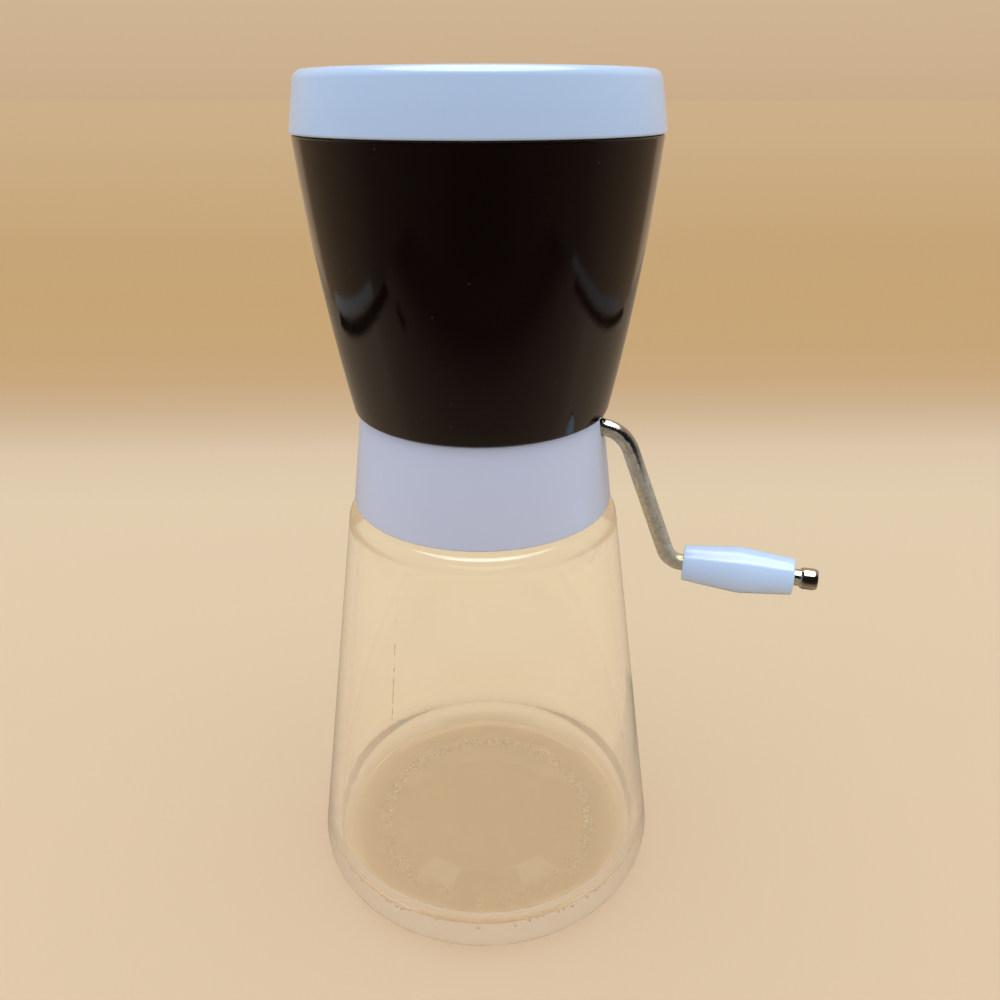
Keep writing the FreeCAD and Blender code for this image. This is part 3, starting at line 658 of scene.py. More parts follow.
@dataclass(frozen=True)
class Plan:
    """Levels and radii that more than one piece works to.

    thread_fade is the share of a turn over which a thread rises at each of its ends.
    """

    shoulder: float = 109.45
    neck_radius: float = 28.15
    rim: float = 119.85
    web_bottom: float = 120.85
    web_top: float = 122.45
    shaft: float = 130.45
    pin: float = 97.35
    joint: float = 133.75
    hopper_rim: float = 193.1
    chamber_bore: float = 26.9
    throat: float = 24.7
    pad_face: float = 19.2
    pad_half: float = 3.6
    near_seat: float = 2.045
    far_seat: float = 1.635
    lug_radius: float = 2.9
    screw_x: float = 11.1
    screw_y: float = 19.226
    thread_pitch: float = 5.08
    thread_start: float = 117.45
    thread_height: float = 0.9
    thread_fade: float = 0.07

    def screws(self) -> list[Matrix]:
        """Where the four screws stand."""
        across, along = (self.screw_x, -self.screw_x), (self.screw_y, -self.screw_y)
        return [Matrix.Translation((x, y, 0)) for x in across for y in along]

    def on_shaft(self) -> Matrix:
        """What lays a piece turned about Z along the shaft."""
        return Matrix.Translation((0, 0, self.shaft)) @ ALONG_X

    def thread(self, spot: Vector, start: float, turns: float, width: float) -> float:
        """How high a round screw thread stands at a point, as a share of its full height.

        Args:
            spot: The point on the thread's cylinder.
            start: The level that the thread starts from, going down.
            turns: How many turns it makes.
            width: Half the thread's foot.

        Returns:
            A share from 0 to 1, eased at both ends of the thread.
        """
        angle = math.atan2(spot.y, spot.x) / math.tau % 1.0
        best = 0.0
        for wrap in range(math.ceil(turns)):
            along = angle + wrap
            ease = smooth_step(along / self.thread_fade) * smooth_step((turns - along) / self.thread_fade)
            gap = abs(spot.z - start + along * self.thread_pitch) / width
            if gap < 1:
                best = max(best, ease * (1 - gap * gap) ** 1.5)
        return best


PLAN = Plan()


@dataclass
class Jar:
    """The pressed glass jar with its screw neck and the ring of small dents under its foot.

    rubbed is the bearing, in degrees, of the side where the dents are most worn away.
    """

    base_radius: float = 48.65
    shoulder_radius: float = 33.05
    shoulder_round: float = 4.6
    bore: float = 25.15
    floor: float = 4.6
    wall: float = 3.0
    heel: float = 6.0
    inner_heel: float = 9.0
    inner_shoulder: float = 4.9
    punt_radius: float = 28.9
    punt_depth: float = 0.8
    dents_start: float = 29.5
    dents_stop: float = 32.7
    dent_row: float = 0.8
    dent_rim: float = 0.14
    dent_depth: float = 0.5
    rubbed: float = -80.0
    thread_turns: float = 1.35
    thread_half: float = 1.1
    steps: int = 288

    def section(self) -> list[Corner]:
        """Draw the jar's section, from the middle of the punt round to the middle of the floor inside.

        Returns:
            Its corners.
        """
        taper = (self.base_radius - self.shoulder_radius) / PLAN.shoulder
        across = self.wall * math.hypot(1, taper)
        inner = PLAN.shoulder - self.wall
        return [
            Corner(0, self.punt_depth, cuts=3),
            Corner(self.punt_radius - 7.0, self.punt_depth, 12.0, 5),
            Corner(self.punt_radius, 0, 3.0, 4),
            Corner(self.dents_start, 0, cuts=3),
            Corner(self.dents_stop, 0),
            Corner(self.base_radius, 0, self.heel, 12),
            Corner(self.shoulder_radius, PLAN.shoulder, self.shoulder_round, 12),
            Corner(PLAN.neck_radius, PLAN.shoulder, 1.0, 4, cuts=26),
            Corner(PLAN.neck_radius, PLAN.rim, 0.8, 5),
            Corner(self.bore, PLAN.rim, 0.8, 5),
            Corner(self.bore, inner, 0.8, 4),
            Corner(self.base_radius - taper * inner - across, inner, self.inner_shoulder, 10),
            Corner(self.base_radius - taper * self.floor - across, self.floor, self.inner_heel, 12),
            Corner(0, self.floor),
        ]

    def shaped(self, spot: Vector) -> Vector:
        """Raise the neck where the thread passes.

        Args:
            spot: A point of the jar.

        Returns:
            Where it goes.
        """
        radius = from_axis(spot)
        if not (abs(radius - PLAN.neck_radius) < 0.05 and PLAN.shoulder + 1 < spot.z < PLAN.rim - 0.9):
            return spot
        rise = PLAN.thread_height * PLAN.thread(spot, PLAN.thread_start, self.thread_turns, self.thread_half)
        return spread(spot, (radius + rise) / radius)

    def dents(self, blank: Blank) -> None:
        """Press rows of small dents into the foot, uneven and worn away where the foot has rubbed most.

        Args:
            blank: The turned jar.
        """
        chosen = []
        for face in blank.work.faces:
            middle = face.calc_center_median()
            radius = from_axis(middle)
            if middle.z < 0.01 and self.dents_start < radius < self.dents_stop:
                turn = math.atan2(middle.y, middle.x) / math.tau
                column = math.floor(turn * self.steps)
                row = int((radius - self.dents_start) / self.dent_row)
                # A number from 0 to 1 for each column and row, the same on every run.
                chance = math.sin(column * 12.9898 + row * 78.233) * 43758.5453 % 1.0
                # Half of the dents are worn away, and nearly all of those next to the rubbed side.
                worn = 0.5 + 0.45 * smooth_step(1 - abs((turn - self.rubbed / 360 + 0.5) % 1.0 - 0.5) * 5)
                if (column + row) % 2 and chance > worn:
                    chosen.append(face)
        bmesh.ops.inset_individual(blank.work, faces=chosen, thickness=self.dent_rim, depth=-self.dent_depth)

    def build(self) -> None:
        """Turn the jar, raise its thread, press its dents, and replace the plain one."""
        blank = Blank().turn(self.section(), self.steps).sculpt(self.shaped)
        self.dents(blank)
        blank.finish("jar_glass", Stock.GLASS, "jar", "glass", ["glass_jar"])


@dataclass
class Collar:
    """The white moulded collar: a threaded skirt, a web with four screw lugs, and two bearing pads."""

    bottom: float = 110.15
    bottom_radius: float = 31.95
    top: float = 133.65
    top_radius: float = 28.9
    skirt_bore: float = 29.75
    mouth: float = 2.335
    hole: float = 1.3
    thread_turns: float = 1.2
    thread_half: float = 1.0

    def shaped(self, spot: Vector) -> Vector:
        """Raise the skirt's inner thread, which runs under the jar's.

        Args:
            spot: A point of the collar.

        Returns:
            Where it goes.
        """
        radius = from_axis(spot)
        if not (abs(radius - self.skirt_bore) < 0.05 and self.bottom + 1 < spot.z < PLAN.web_bottom - 1):
            return spot
        start = PLAN.thread_start - PLAN.thread_pitch / 2
        rise = PLAN.thread_height * PLAN.thread(spot, start, self.thread_turns, self.thread_half)
        return spread(spot, (radius - rise) / radius)

    def slot(self, radius: float, start: float, stop: float) -> Blank:
        """The tool for a slot that is open at the top and round about the shaft."""
        return peg(radius, start, stop).place(PLAN.on_shaft()).join(
            box_blank((start, -radius, PLAN.shaft), (stop, radius, self.top + 2)))

    def build(self) -> None:
        """Turn the shell, join the pads and lugs to it, and cut the slots and holes."""
        shell = Blank().turn([
            Corner(self.skirt_bore, self.bottom, 0.25, 3),
            Corner(self.bottom_radius, self.bottom, 0.5, 5),
            Corner(self.top_radius, self.top, 0.35, 5),
            Corner(PLAN.chamber_bore, self.top, 0.3, 3),
            Corner(PLAN.chamber_bore, PLAN.web_top, 0.3, 3),
            Corner(PLAN.throat, PLAN.web_top, 0.2, 2),
            Corner(PLAN.throat, PLAN.web_bottom, 0.2, 2),
            Corner(self.skirt_bore, PLAN.web_bottom, 0.4, 3, cuts=26),
        ], 192, closed=True).sculpt(self.shaped)
        extras = []
        for side in (1, -1):
            low, high = sorted((side * PLAN.pad_face, side * (PLAN.chamber_bore + 0.5)))
            foot = (low, -PLAN.pad_half, PLAN.web_bottom + 0.02)
            extras.append(box_blank(foot, (high, PLAN.pad_half, PLAN.shaft)))
        for at in PLAN.screws():
            extras.append(peg(PLAN.lug_radius, PLAN.web_bottom + 0.01, PLAN.web_top - 0.01, 32).place(at))
        shell.join(*extras)
        shell.cut(
            self.slot(PLAN.near_seat, PLAN.pad_face - 2, PLAN.chamber_bore + 0.02),
            self.slot(self.mouth, PLAN.chamber_bore, self.bottom_radius + 2.05),
            self.slot(PLAN.far_seat, 0.06 - PLAN.chamber_bore, 2 - PLAN.pad_face),
            *[peg(self.hole, PLAN.web_bottom - 3, PLAN.web_top + 3, 24).place(at) for at in PLAN.screws()],
        )
        shell.finish("collar_moulding", Stock.COLLAR, "head", "white_plastic", ["collar"])


@dataclass
class Hopper:
    """The dark moulded hopper: swept sides, a spigot, four screw bosses and the bearing's upper halves."""

    bottom_radius: float = 30.0
    top_radius: float = 38.6
    wall: float = 2.25
    bow: float = 0.93
    spigot_radius: float = 26.75
    spigot_bottom: float = 123.5
    notch_radius: float = 3.4
    notch_level: float = 131.55
    boss_height: float = 8.4
    pilot_radius: float = 1.05
    pilot_depth: float = 6.6

    def shaped(self, spot: Vector) -> Vector:
        """Bow the sides outwards a little between the joint and the rim.

        Args:
            spot: A point of the hopper.

        Returns:
            Where it goes.
        """
        share = (spot.z - PLAN.joint) / (PLAN.hopper_rim - PLAN.joint)
        radius = from_axis(spot)
        if not 0 < share < 1 or radius < PLAN.throat + 0.5:
            return spot
        return spread(spot, (radius + self.bow * 4 * share * (1 - share)) / radius)

    def boss(self) -> Blank:
        """Turn one screw boss, which stands on the spigot's foot.

        Returns:
            The boss about the Z axis.
        """
        top = self.spigot_bottom + self.boss_height
        return Blank().turn([
            Corner(0, self.spigot_bottom),
            Corner(PLAN.lug_radius, self.spigot_bottom),
            Corner(PLAN.lug_radius, top, 0.4, 4),
            Corner(0, top),
        ], 40)

    def bearing_cap(self, side: int) -> Blank:
        """Make the roof-shaped block over one end of the shaft.

        Args:
            side: 1 at the crank's end, -1 at the other.

        Returns:
            The block in its place.
        """
        cap = Blank()
        low, top, half = PLAN.shaft + 0.1, PLAN.joint - 1, PLAN.pad_half
        corners = [(-half, low), (half, low), (half, top), (0, top + 3), (-half, top)]
        face = cap.work.faces.new([cap.work.verts.new((side * PLAN.pad_face, y, z)) for y, z in corners])
        pulled = bmesh.ops.extrude_face_region(cap.work, geom=[face])["geom"]
        moved = [g for g in pulled if isinstance(g, bmesh.types.BMVert)]
        bmesh.ops.translate(cap.work, vec=(side * (PLAN.throat - PLAN.pad_face + 0.6), 0, 0), verts=moved)
        bmesh.ops.recalc_face_normals(cap.work, faces=cap.work.faces)
        return cap

    def build(self) -> None:
        """Turn the shell, join the bosses and bearing halves to it, and cut the shaft's way."""
        shell = Blank().turn([
            Corner(self.spigot_radius, self.spigot_bottom, 0.4, 3),
            Corner(self.spigot_radius, PLAN.joint, 0.1, 2),
            Corner(self.bottom_radius, PLAN.joint, 1.0, 8, cuts=18),
            Corner(self.top_radius, PLAN.hopper_rim, 0.4, 4),
            Corner(self.top_radius - self.wall, PLAN.hopper_rim, 0.4, 4, cuts=18),
            Corner(self.bottom_radius - self.wall, PLAN.joint + 5, 3.0, 6),
            Corner(PLAN.throat, PLAN.joint + 1.2, 1.5, 4),
            Corner(PLAN.throat, self.spigot_bottom, 0.3, 3),
        ], 216, closed=True).sculpt(self.shaped)
        shell.join(*[self.boss().place(at) for at in PLAN.screws()])
        reach, end = PLAN.pad_half + 0.15, self.bottom_radius
        arch = Matrix.Translation((0, 0, self.notch_level)) @ ALONG_X
        shell.cut(
            box_blank((-end, -reach, self.spigot_bottom - 5), (end, reach, PLAN.shaft + 0.1)),
            peg(self.notch_radius, self.spigot_radius - 0.2, 40).place(arch),
        )
        shell.join(self.bearing_cap(1), self.bearing_cap(-1))
        low, high = self.spigot_bottom - 1, self.spigot_bottom + self.pilot_depth
        shell.cut(
            peg(PLAN.near_seat, end / 2, end).place(PLAN.on_shaft()),
            peg(PLAN.far_seat, -end, -end / 2).place(PLAN.on_shaft()),
            *[peg(self.pilot_radius, low, high, 24).place(at) for at in PLAN.screws()],
        )
        shell.finish("hopper_moulding", Stock.BROWN, "head", "dark_plastic", ["hopper"])


@dataclass
class Lid:
    """The white lid: a shallow dome over a tapered skirt, with a plug ring inside the hopper's mouth."""

    bottom: float = 193.2
    bottom_radius: float = 39.0
    side_top: float = 204.75
    top_radius: float = 37.05
    edge_round: float = 2.1
    dome: float = 0.8
    wall: float = 1.6
    skirt_bore: float = 37.1
    seat: float = 3.0
    plug_depth: float = 4.0
    plug_radii: tuple[float, float] = (35.35, 36.15)
    plug_bores: tuple[float, float] = (33.95, 34.55)

    def crowned(self, spot: Vector) -> Vector:
        """Lift the top into its shallow dome.

        Args:
            spot: A point of the lid.

        Returns:
            Where it goes.
        """
        if spot.z < self.side_top - self.wall - 0.6:
            return spot
        share = max(0.0, 1 - (from_axis(spot) / self.top_radius) ** 2)
        return spot + Vector((0, 0, self.dome * share))

    def build(self) -> None:
        """Turn the lid and lift its dome."""
        ceiling = self.side_top - self.wall
        seat, plug = self.bottom + self.seat, self.bottom - self.plug_depth
        blank = Blank().turn([
            Corner(0, ceiling, cuts=8),
            Corner(self.plug_bores[1], ceiling, 0.8, 3),
            Corner(self.plug_bores[0], plug, 0.4, 3),
            Corner(self.plug_radii[0], plug, 0.4, 3),
            Corner(self.plug_radii[1], seat, 0.2, 2),
            Corner(self.skirt_bore, seat, 0.2, 2),
            Corner(self.skirt_bore, self.bottom, 0.2, 2),
            Corner(self.bottom_radius, self.bottom, 0.45, 5),
            Corner(self.top_radius, self.side_top, self.edge_round, 12, cuts=14),
            Corner(0, self.side_top),
        ], 216).sculpt(self.crowned)
        blank.finish("lid_moulding", Stock.WHITE, "lid", "white_plastic", ["lid"])


@dataclass
class Screws:
    """The four self-tapping screws: pan heads with a cross recess, and threaded shanks with a point."""

    radius: float = 1.0
    length: float = 8.6
    head_radius: float = 2.1
    head_height: float = 1.5
    pitch: float = 0.9
    thread_depth: float = 0.22
    recess_half: float = 1.15
    recess_width: float = 0.26

    def shaped(self, spot: Vector) -> Vector:
        """Cut the thread into the shank.

        Args:
            spot: A point of the screw.

        Returns:
            Where it goes.
        """
        height = spot.z - PLAN.web_bottom
        if not (0.5 < from_axis(spot) < self.radius + 0.01 and 1.4 < height < self.length - 0.3):
            return spot
        # Ridges with sloping sides, and a flat root between them.
        lift = (spot.z / self.pitch - math.atan2(spot.y, spot.x) / math.tau) % 1.0
        return spread(spot, 1 - self.thread_depth * min(1.0, 2.4 * abs(lift - 0.5)))

    def one(self) -> Blank:
        """Turn one screw and press its recess.

        Returns:
            The screw about the Z axis, its head under the web.
        """
        seat = PLAN.web_bottom
        tip, under = seat + self.length, seat - self.head_height
        screw = Blank().turn([
            Corner(0, under),
            Corner(self.head_radius * 0.72, under, 0.5, 3),
            Corner(self.head_radius, under + self.head_height / 2, 0.35, 3),
            Corner(self.head_radius, seat, 0.12, 2),
            Corner(self.radius, seat, cuts=44),
            Corner(self.radius, tip - 1.0, 0.3, 2),
            Corner(self.radius / 4, tip, 0.1, 2),
            Corner(0, tip),
        ], 36).sculpt(self.shaped)
        low, high = under - 0.5, under + 0.95
        arms = ((self.recess_half, self.recess_width), (self.recess_width, self.recess_half))
        return screw.cut(*[box_blank((-x, -y, low), (x, y, high)) for x, y in arms])

    def build(self) -> None:
        """Set the four screws in their lugs."""
        blank = Blank()
        for at in PLAN.screws():
            blank.take_in(self.one().place(at))
        blank.finish("self_tapping_screws", Stock.STEEL, "head", "plain_steel", ["hopper_screws"])


@dataclass
class Crank:
    """The bent wire crank with the rotor on its shaft, the grip on its pin and the cap on its end.

    Places along X are measured from the body's axis. upper and lower are the radii of the two bends, and
    slant is the arm's lean from upright in degrees.
    """

    radius: float = 1.985
    journal: float = 1.575
    groove: float = 1.2
    ease: float = 0.25
    step: float = 0.02
    end: float = -26.1
    clip_end: float = 18.33
    stack_end: float = 17.71
    flat: float = 1.6
    bend_start: float = 28.8
    upper: float = 8.0
    lower: float = 4.7
    slant: float = 21.6
    pin_end: float = 81.086
    grip_start: float = 50.836
    grip_length: float = 25.6
    grip_bore: float = 2.065
    grip_end: float = 4.3
    grip_crest: float = 5.58
    cap_start: float = 78.036
    cap_length: float = 3.85
    cap_floor: float = 3.05
    cap_edge: float = 2.3
    cap_radius: float = 2.56

    def rod(self) -> Blank:
        """Draw the wire out along the shaft, round both bends and out along the pin.

        Returns:
            The rod in its place.
        """
        blank = Blank()
        work = blank.work
        tip = self.journal - self.ease
        ring = bmesh.ops.create_circle(work, cap_ends=True, radius=tip, segments=48)["verts"]
        bmesh.ops.transform(work, matrix=Matrix.Translation((self.end, 0, PLAN.shaft)) @ ALONG_X, verts=ring)
        front = list(work.faces)

        def scaled(factor: float) -> None:
            """Open or close the front ring about its middle.

            Args:
                factor: How many times as wide it gets.
            """
            ring = list(front[0].verts)
            hub = sum((v.co for v in ring), Vector()) / len(ring)
            bmesh.ops.scale(work, vec=(factor,) * 3, space=Matrix.Translation(-hub), verts=ring)

        def renewed(made: Sequence) -> None:
            """Take the new face in `made` as the front one, and open the skin where the last one was."""
            bmesh.ops.delete(work, geom=[f for f in front if f.is_valid], context="FACES_ONLY")
            front[:] = [g for g in made if isinstance(g, bmesh.types.BMFace)]

        def drawn(length: float, way: Vector = Vector((1, 0, 0))) -> None:
            """Pull the front face on by a length along `way`."""
            renewed(bmesh.ops.extrude_face_region(work, geom=front)["geom"])
            bmesh.ops.translate(work, vec=way * length, verts=list(front[0].verts))

        def bent(hub: Vector, sign: int, steps: int) -> None:
            """Swing the front face about a hub through the arm's angle.

            Args:
                hub: The middle of the bend.
                sign: 1 for a bend down, -1 for a bend up.
                steps: How many pieces the bend has.
            """
            renewed(bmesh.ops.spin(
                work, geom=front + list(front[0].edges) + list(front[0].verts), cent=hub, axis=(0, sign, 0),
                angle=math.radians(90 - self.slant), steps=steps,
            )["geom_last"])

        # From the far end: the journal, the clip's groove, the flats' length, and plain wire from there on.
        groove_end = self.stack_end + self.step
        drawn(self.ease)
        scaled(self.journal / tip)
        drawn(-self.clip_end - self.end - self.ease)
        drawn(0.0)
        scaled(self.groove / self.journal)
        drawn(self.clip_end - groove_end)
        drawn(0.0)
        scaled(self.radius / self.groove)
        for length in (self.step, groove_end + self.stack_end - 2 * self.step, self.step):
            drawn(length)
        drawn(self.bend_start - self.stack_end)
        # The arm leans out between the two bends.
        bent(Vector((self.bend_start, 0, PLAN.shaft - self.upper)), 1, 18)
        angle = math.radians(self.slant)
        reach = math.tan(math.radians(90 - self.slant) / 2)
        way = Vector((math.sin(angle), 0, -math.cos(angle)))
        throw = PLAN.shaft - PLAN.pin
        drawn(throw / math.cos(angle) - (self.upper + self.lower) * reach, way)
        foot = self.bend_start + (self.upper + self.lower) * reach + throw * math.tan(angle)
        bent(Vector((foot, 0, PLAN.pin + self.lower)), -1, 14)
        drawn(self.pin_end - foot)
        bmesh.ops.remove_doubles(work, verts=work.verts, dist=WELD / 10)
        bmesh.ops.recalc_face_normals(work, faces=work.faces)
        # The four flats that the blades sit on.
        for vert in work.verts:
            if self.step / 2 - groove_end < vert.co.x < self.stack_end - self.step / 2:
                vert.co.y = min(max(vert.co.y, -self.flat), self.flat)
                vert.co.z = min(max(vert.co.z, PLAN.shaft - self.flat), PLAN.shaft + self.flat)
        return blank

    def grip(self) -> Blank:
        """Turn the grip: two tapers that meet in a soft crest, with the pin's bore through it.

        Returns:
            The grip in its place.
        """
        return Blank().turn([
            Corner(self.grip_bore, 0, 0.15, 2),
            Corner(self.grip_end, 0, 0.45, 5, cuts=4),
            Corner(self.grip_crest, self.grip_length * 0.52, 16.0, 8, cuts=4),
            Corner(self.grip_end, self.grip_length, 0.45, 5),
            Corner(self.grip_bore, self.grip_length, 0.15, 2),
        ], 72, closed=True).place(Matrix.Translation((self.grip_start, 0, PLAN.pin)) @ ALONG_X)

    def cap(self) -> Blank:
        """Turn the drawn cup that is pressed over the pin's end.

        Returns:
            The cup in its place.
        """
        return Blank().turn([
            Corner(self.radius, 0),
            Corner(self.cap_edge, 0, 0.08, 2),
            Corner(self.cap_radius, 0.75, 0.5, 4),
            Corner(self.cap_radius, self.cap_length - 0.9, 0.5, 4),
            Corner(self.cap_edge, self.cap_length, 0.35, 5),
            Corner(0, self.cap_length),
            Corner(0, self.cap_floor),
            Corner(self.radius, self.cap_floor),
        ], 64, closed=True).place(Matrix.Translation((self.cap_start, 0, PLAN.pin)) @ ALONG_X)

    def build(self) -> None:
        """Build the rod, the grip and the cap."""
        self.rod().finish("crank_wire", Stock.NICKEL, "crank", "plated_steel", ["crank_rod"])
        self.grip().finish("grip_moulding", Stock.WHITE, "grip", "white_plastic", ["crank_grip"])
        self.cap().finish("grip_end_cup", Stock.CUP, "crank", "plated_steel", ["grip_cap"])


class Stamping(Enum):
    """The steel and board pieces that keep the frame's shape.

    Each has the start of its nodes' names, its finish, its slot, its body, and how wide its edges are eased.
    """

    BLADE = ("blade", Stock.BLADE, "blade_steel", "crank", 0.12)
    SPACER = ("spacer", Stock.STEEL, "plain_steel", "crank", 0.12)
    NEAR_WASHER = ("near_thrust_washer", Stock.STEEL, "plain_steel", "crank", 0.1)
    FAR_WASHER = ("far_thrust_washer", Stock.STEEL, "plain_steel", "crank", 0.1)
    CLIP = ("retaining_clip", Stock.STEEL, "plain_steel", "crank", 0.08)
    GRATE = ("chopping_grate", Stock.TIN, "tinned_steel", "head", 0.1)
    LINER = ("jar_liner", Stock.BOARD, "liner", "liner", 0.12)

    def build(self) -> None:
        """Copy each of the frame's nodes of this kind with its edges eased, and replace it."""
        start, stock, slot, body, width = self.value
        for name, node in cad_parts.items():
            if not name.startswith(start):
                continue
            blank = Blank()
            work = blank.work
            work.from_mesh(node.data)
            blank.place(Matrix.Scale(1 / MM, 4) @ node.matrix_world)
            bmesh.ops.remove_doubles(work, verts=work.verts, dist=WELD)
            bmesh.ops.recalc_face_normals(work, faces=work.faces)
            bmesh.ops.dissolve_limit(work, angle_limit=FLAT, verts=work.verts, edges=work.edges)
            sharp = [e for e in work.edges if len(e.link_faces) == 2 and e.calc_face_angle(0.0) > EASED]
            bmesh.ops.bevel(
                work, geom=sharp, offset=width, segments=2, profile=0.5, affect="EDGES", material=-1,
                clamp_overlap=True,
            )
            blank.finish(name + "_piece", stock, body, slot, [name])


# Studio


@dataclass
class Studio:
    """A sheet of cream paper in a dim room that is lit from both sides, a soft light overhead, and the
    camera.

    The camera and the glass see the paper go on for ever. Gloss and scattered light see it end, with the
    room past its edges. azimuth, the camera's bearing from the front, and pitch are in degrees, and yaw and
    roll in radians. glow is the share of the paper's look that is light of its own, and turned the share of
    the camera's sight that is left after turns in the glass. ambient and ceiling are the strengths of the
    room's light and of its ceiling, which only gloss sees as painted highlights, and lamp_row is how far
    the painted lamps in that lean towards the camera.
    """

    azimuth: float = 17.12
    distance: float = 192.56
    height: float = 200.0
    lens: float = 30.312
    sensor: float = 36.0
    pitch: float = 25.632
    yaw: float = 0.0222
    roll: float = -0.002
    floor_radius: float = 40000.0
    floor_level: float = -0.1
    paper_half: float = 410.0
    light: str = "#FFEFD8"
    glow: float = 0.4
    turned: float = 0.8
    ambient: float = 1.85
    ceiling: float = 4.0
    lamp_row: float = 0.36
    lamp_angle: float = 60.0

    def camera(self) -> None:
        """Stand the camera where the photograph was taken from."""
        lens = bpy.data.cameras.new("camera")
        lens.lens, lens.sensor_width = self.lens, self.sensor
        lens.clip_start, lens.clip_end = 0.01, 100.0
        body = put("camera", lens)
        a = math.radians(self.azimuth)
        spot = Vector((math.sin(a), -math.cos(a), 0)) * self.distance + Vector((0, 0, self.height))
        aim = Matrix.Rotation(a - self.yaw, 4, "Z") @ Matrix.Rotation(math.radians(90 - self.pitch), 4, "X")
        aim = aim @ Matrix.Rotation(self.roll, 4, "Z")
        body.matrix_world = Matrix.Translation(spot * MM) @ aim
        bpy.context.scene.camera = body

    def towards(self, add: Adder, place: Source) -> Source:
        """Turn coordinates to the camera's bearing.

        Args:
            add: What adds nodes to the material or the world.
            place: The coordinates.

        Returns:
            X to the camera's right, Y away from it and Z up.
        """
        return add("Mapping", {"Vector": place, "Rotation": (0, 0, -math.radians(self.azimuth))})

    def looked_at(self, add: Adder) -> Source:
        """Find whether the camera looks here, straight or through the glass.

        Args:
            add: What adds nodes to the material or the world.

        Returns:
            1 where it does, a part of it after turns in the glass, and 0 for all other light.
        """
        path = add("LightPath").outputs
        straight = add("Math", [path["Diffuse Depth"], 0.5], operation="LESS_THAN")
        entered = add("Math", [path["Transmission Depth"], 0.5], operation="GREATER_THAN")
        turned = add("Math", [entered, self.turned], operation="MULTIPLY")
        through = add("Math", [path["Is Transmission Ray"], turned], operation="MAXIMUM")
        through = add("Math", [through, straight], operation="MULTIPLY")
        return add("Math", [path["Is Camera Ray"], through], operation="MAXIMUM")

    def panel(
        self, add: Adder, spot: Source, middle: tuple[float, float], half: tuple[float, float], soft: float
    ) -> Source:
        """Mark a rectangle on the floor.

        Args:
            add: What adds nodes to the floor's material.
            spot: The place on the floor, in metres to the camera's right and away from it.
            middle: The rectangle's middle in millimetres.
            half: Half its width and half its depth.
            soft: How wide its soft edge is.

        Returns:
            1 inside the rectangle, 0 outside it.
        """
        off = add("VectorMath", [spot, (middle[0] * MM, middle[1] * MM, 0)], operation="SUBTRACT")
        off = add("VectorMath", [off], operation="ABSOLUTE")
        off = add("VectorMath", [off, (half[0] * MM, half[1] * MM, 1)], operation="SUBTRACT")
        parts = add("SeparateXYZ", [off]).outputs
        worst = add("Math", [parts["X"], parts["Y"]], operation="MAXIMUM")
        return add("MapRange", [worst, -soft * MM, 0.0, 1.0, 0.0])

    def sweep_colour(self, add: Adder, behind: Source) -> Source:
        """Colour the paper: pale in front of the object, with painted shade behind it where a rising sweep
        would be, lighter again towards the horizon.

        Args:
            add: What adds nodes to the floor's material.
            behind: How far a place lies behind the object, in metres.

        Returns:
            The colour to be seen there.
        """
        # The scale falls from 1 at the object to 0 at the horizon.
        depth = add("Math", [behind, 0.0], operation="MAXIMUM")
        depth = add("Math", [depth, 0.5], operation="ADD")
        share = add("Math", [0.5, depth], operation="DIVIDE")
        return add("ValToRGB", [share], [
            (0.034, "#CCB08A"), (0.0735, "#CCAF88"), (0.1435, "#CAAC84"), (0.227, "#C8A97E"),
            (0.321, "#C5A577"), (0.407, "#C6A476"), (0.486, "#C6A678"), (0.531, "#C9A880"),
            (0.573, "#CDB390"), (0.6, "#D4BC9D"), (0.627, "#DCC7AB"), (0.69, "#E1CEAF"), (1.0, "#E3CBAD"),
        ])

    def room_colour(self, add: Adder, spot: Source, behind: Source, own: Source) -> Source:
        """Colour the floor for light that isn't looked at: the paper, which gloss sees under a painted shade
        towards the camera, the room beyond its edges, dark panels and painted window light beside it, and a
        painted shadow of the crank.

        Args:
            add: What adds nodes to the floor's material.
            spot: The place on the floor, in metres to the camera's right and away from it.
            behind: How far it lies behind the object, in metres.
            own: The paper's own colour there.

        Returns:
            The colour.
        """
        # Painted shade: gloss sees the paper darker towards the camera.
        near = add("MapRange", [behind, 0.0, -0.3])
        dim = add("ValToRGB", [near], [
            (0.15, "#AB8E6B"), (0.233, "#9C8161"), (0.467, "#836B50"), (0.587, "#735E46"),
            (0.667, "#6C5942"), (0.767, "#594834"), (0.847, "#4A3A29"), (0.933, "#372A1F"),
        ])
        radius = add("VectorMath", [spot], operation="LENGTH").outputs["Value"]
        bearing = add("Math", [behind, radius], operation="DIVIDE")
        bearing = add("Math", [bearing, -0.5, 0.5], operation="MULTIPLY_ADD")
        room = add("ValToRGB", [bearing], [
            (0.12, "#D0A97D"), (0.16, "#997954"), (0.5, "#84684A"), (0.63, "#6E563D"), (0.68, "#5E4A34"),
            (0.95, "#3C3021"), (1.0, "#2D2317"),
        ])
        inside = self.panel(add, spot, (0, 1000), (self.paper_half, 1400), 20)
        gloss = add("LightPath").outputs["Is Glossy Ray"]
        sheet = add("Mix", {0: gloss, 6: own, 7: dim}, data_type="RGBA").outputs[2]
        seen = add("Mix", {0: inside, 6: room, 7: sheet}, data_type="RGBA").outputs[2]
        # Two tall dark panels and a low one, a pale panel at each side that paints window light, and the
        # painted shadow that the crank throws.
        for middle, half, code in (
            ((-374, 50), (24, 225), "#14110E"),
            ((382, 65), (19, 240), "#14110E"),
            ((-289, -183), (30, 13), "#1C1815"),
            ((-422, 110), (24, 200), "#A79F92"),
            ((421, 0), (20, 225), "#8A8378"),
            ((84, 28), (26, 42), "#454A3C"),
        ):
            mark = self.panel(add, spot, middle, half, 10)
            seen = add("Mix", {0: mark, 6: seen, 7: linear(code)}, data_type="RGBA").outputs[2]
        return seen

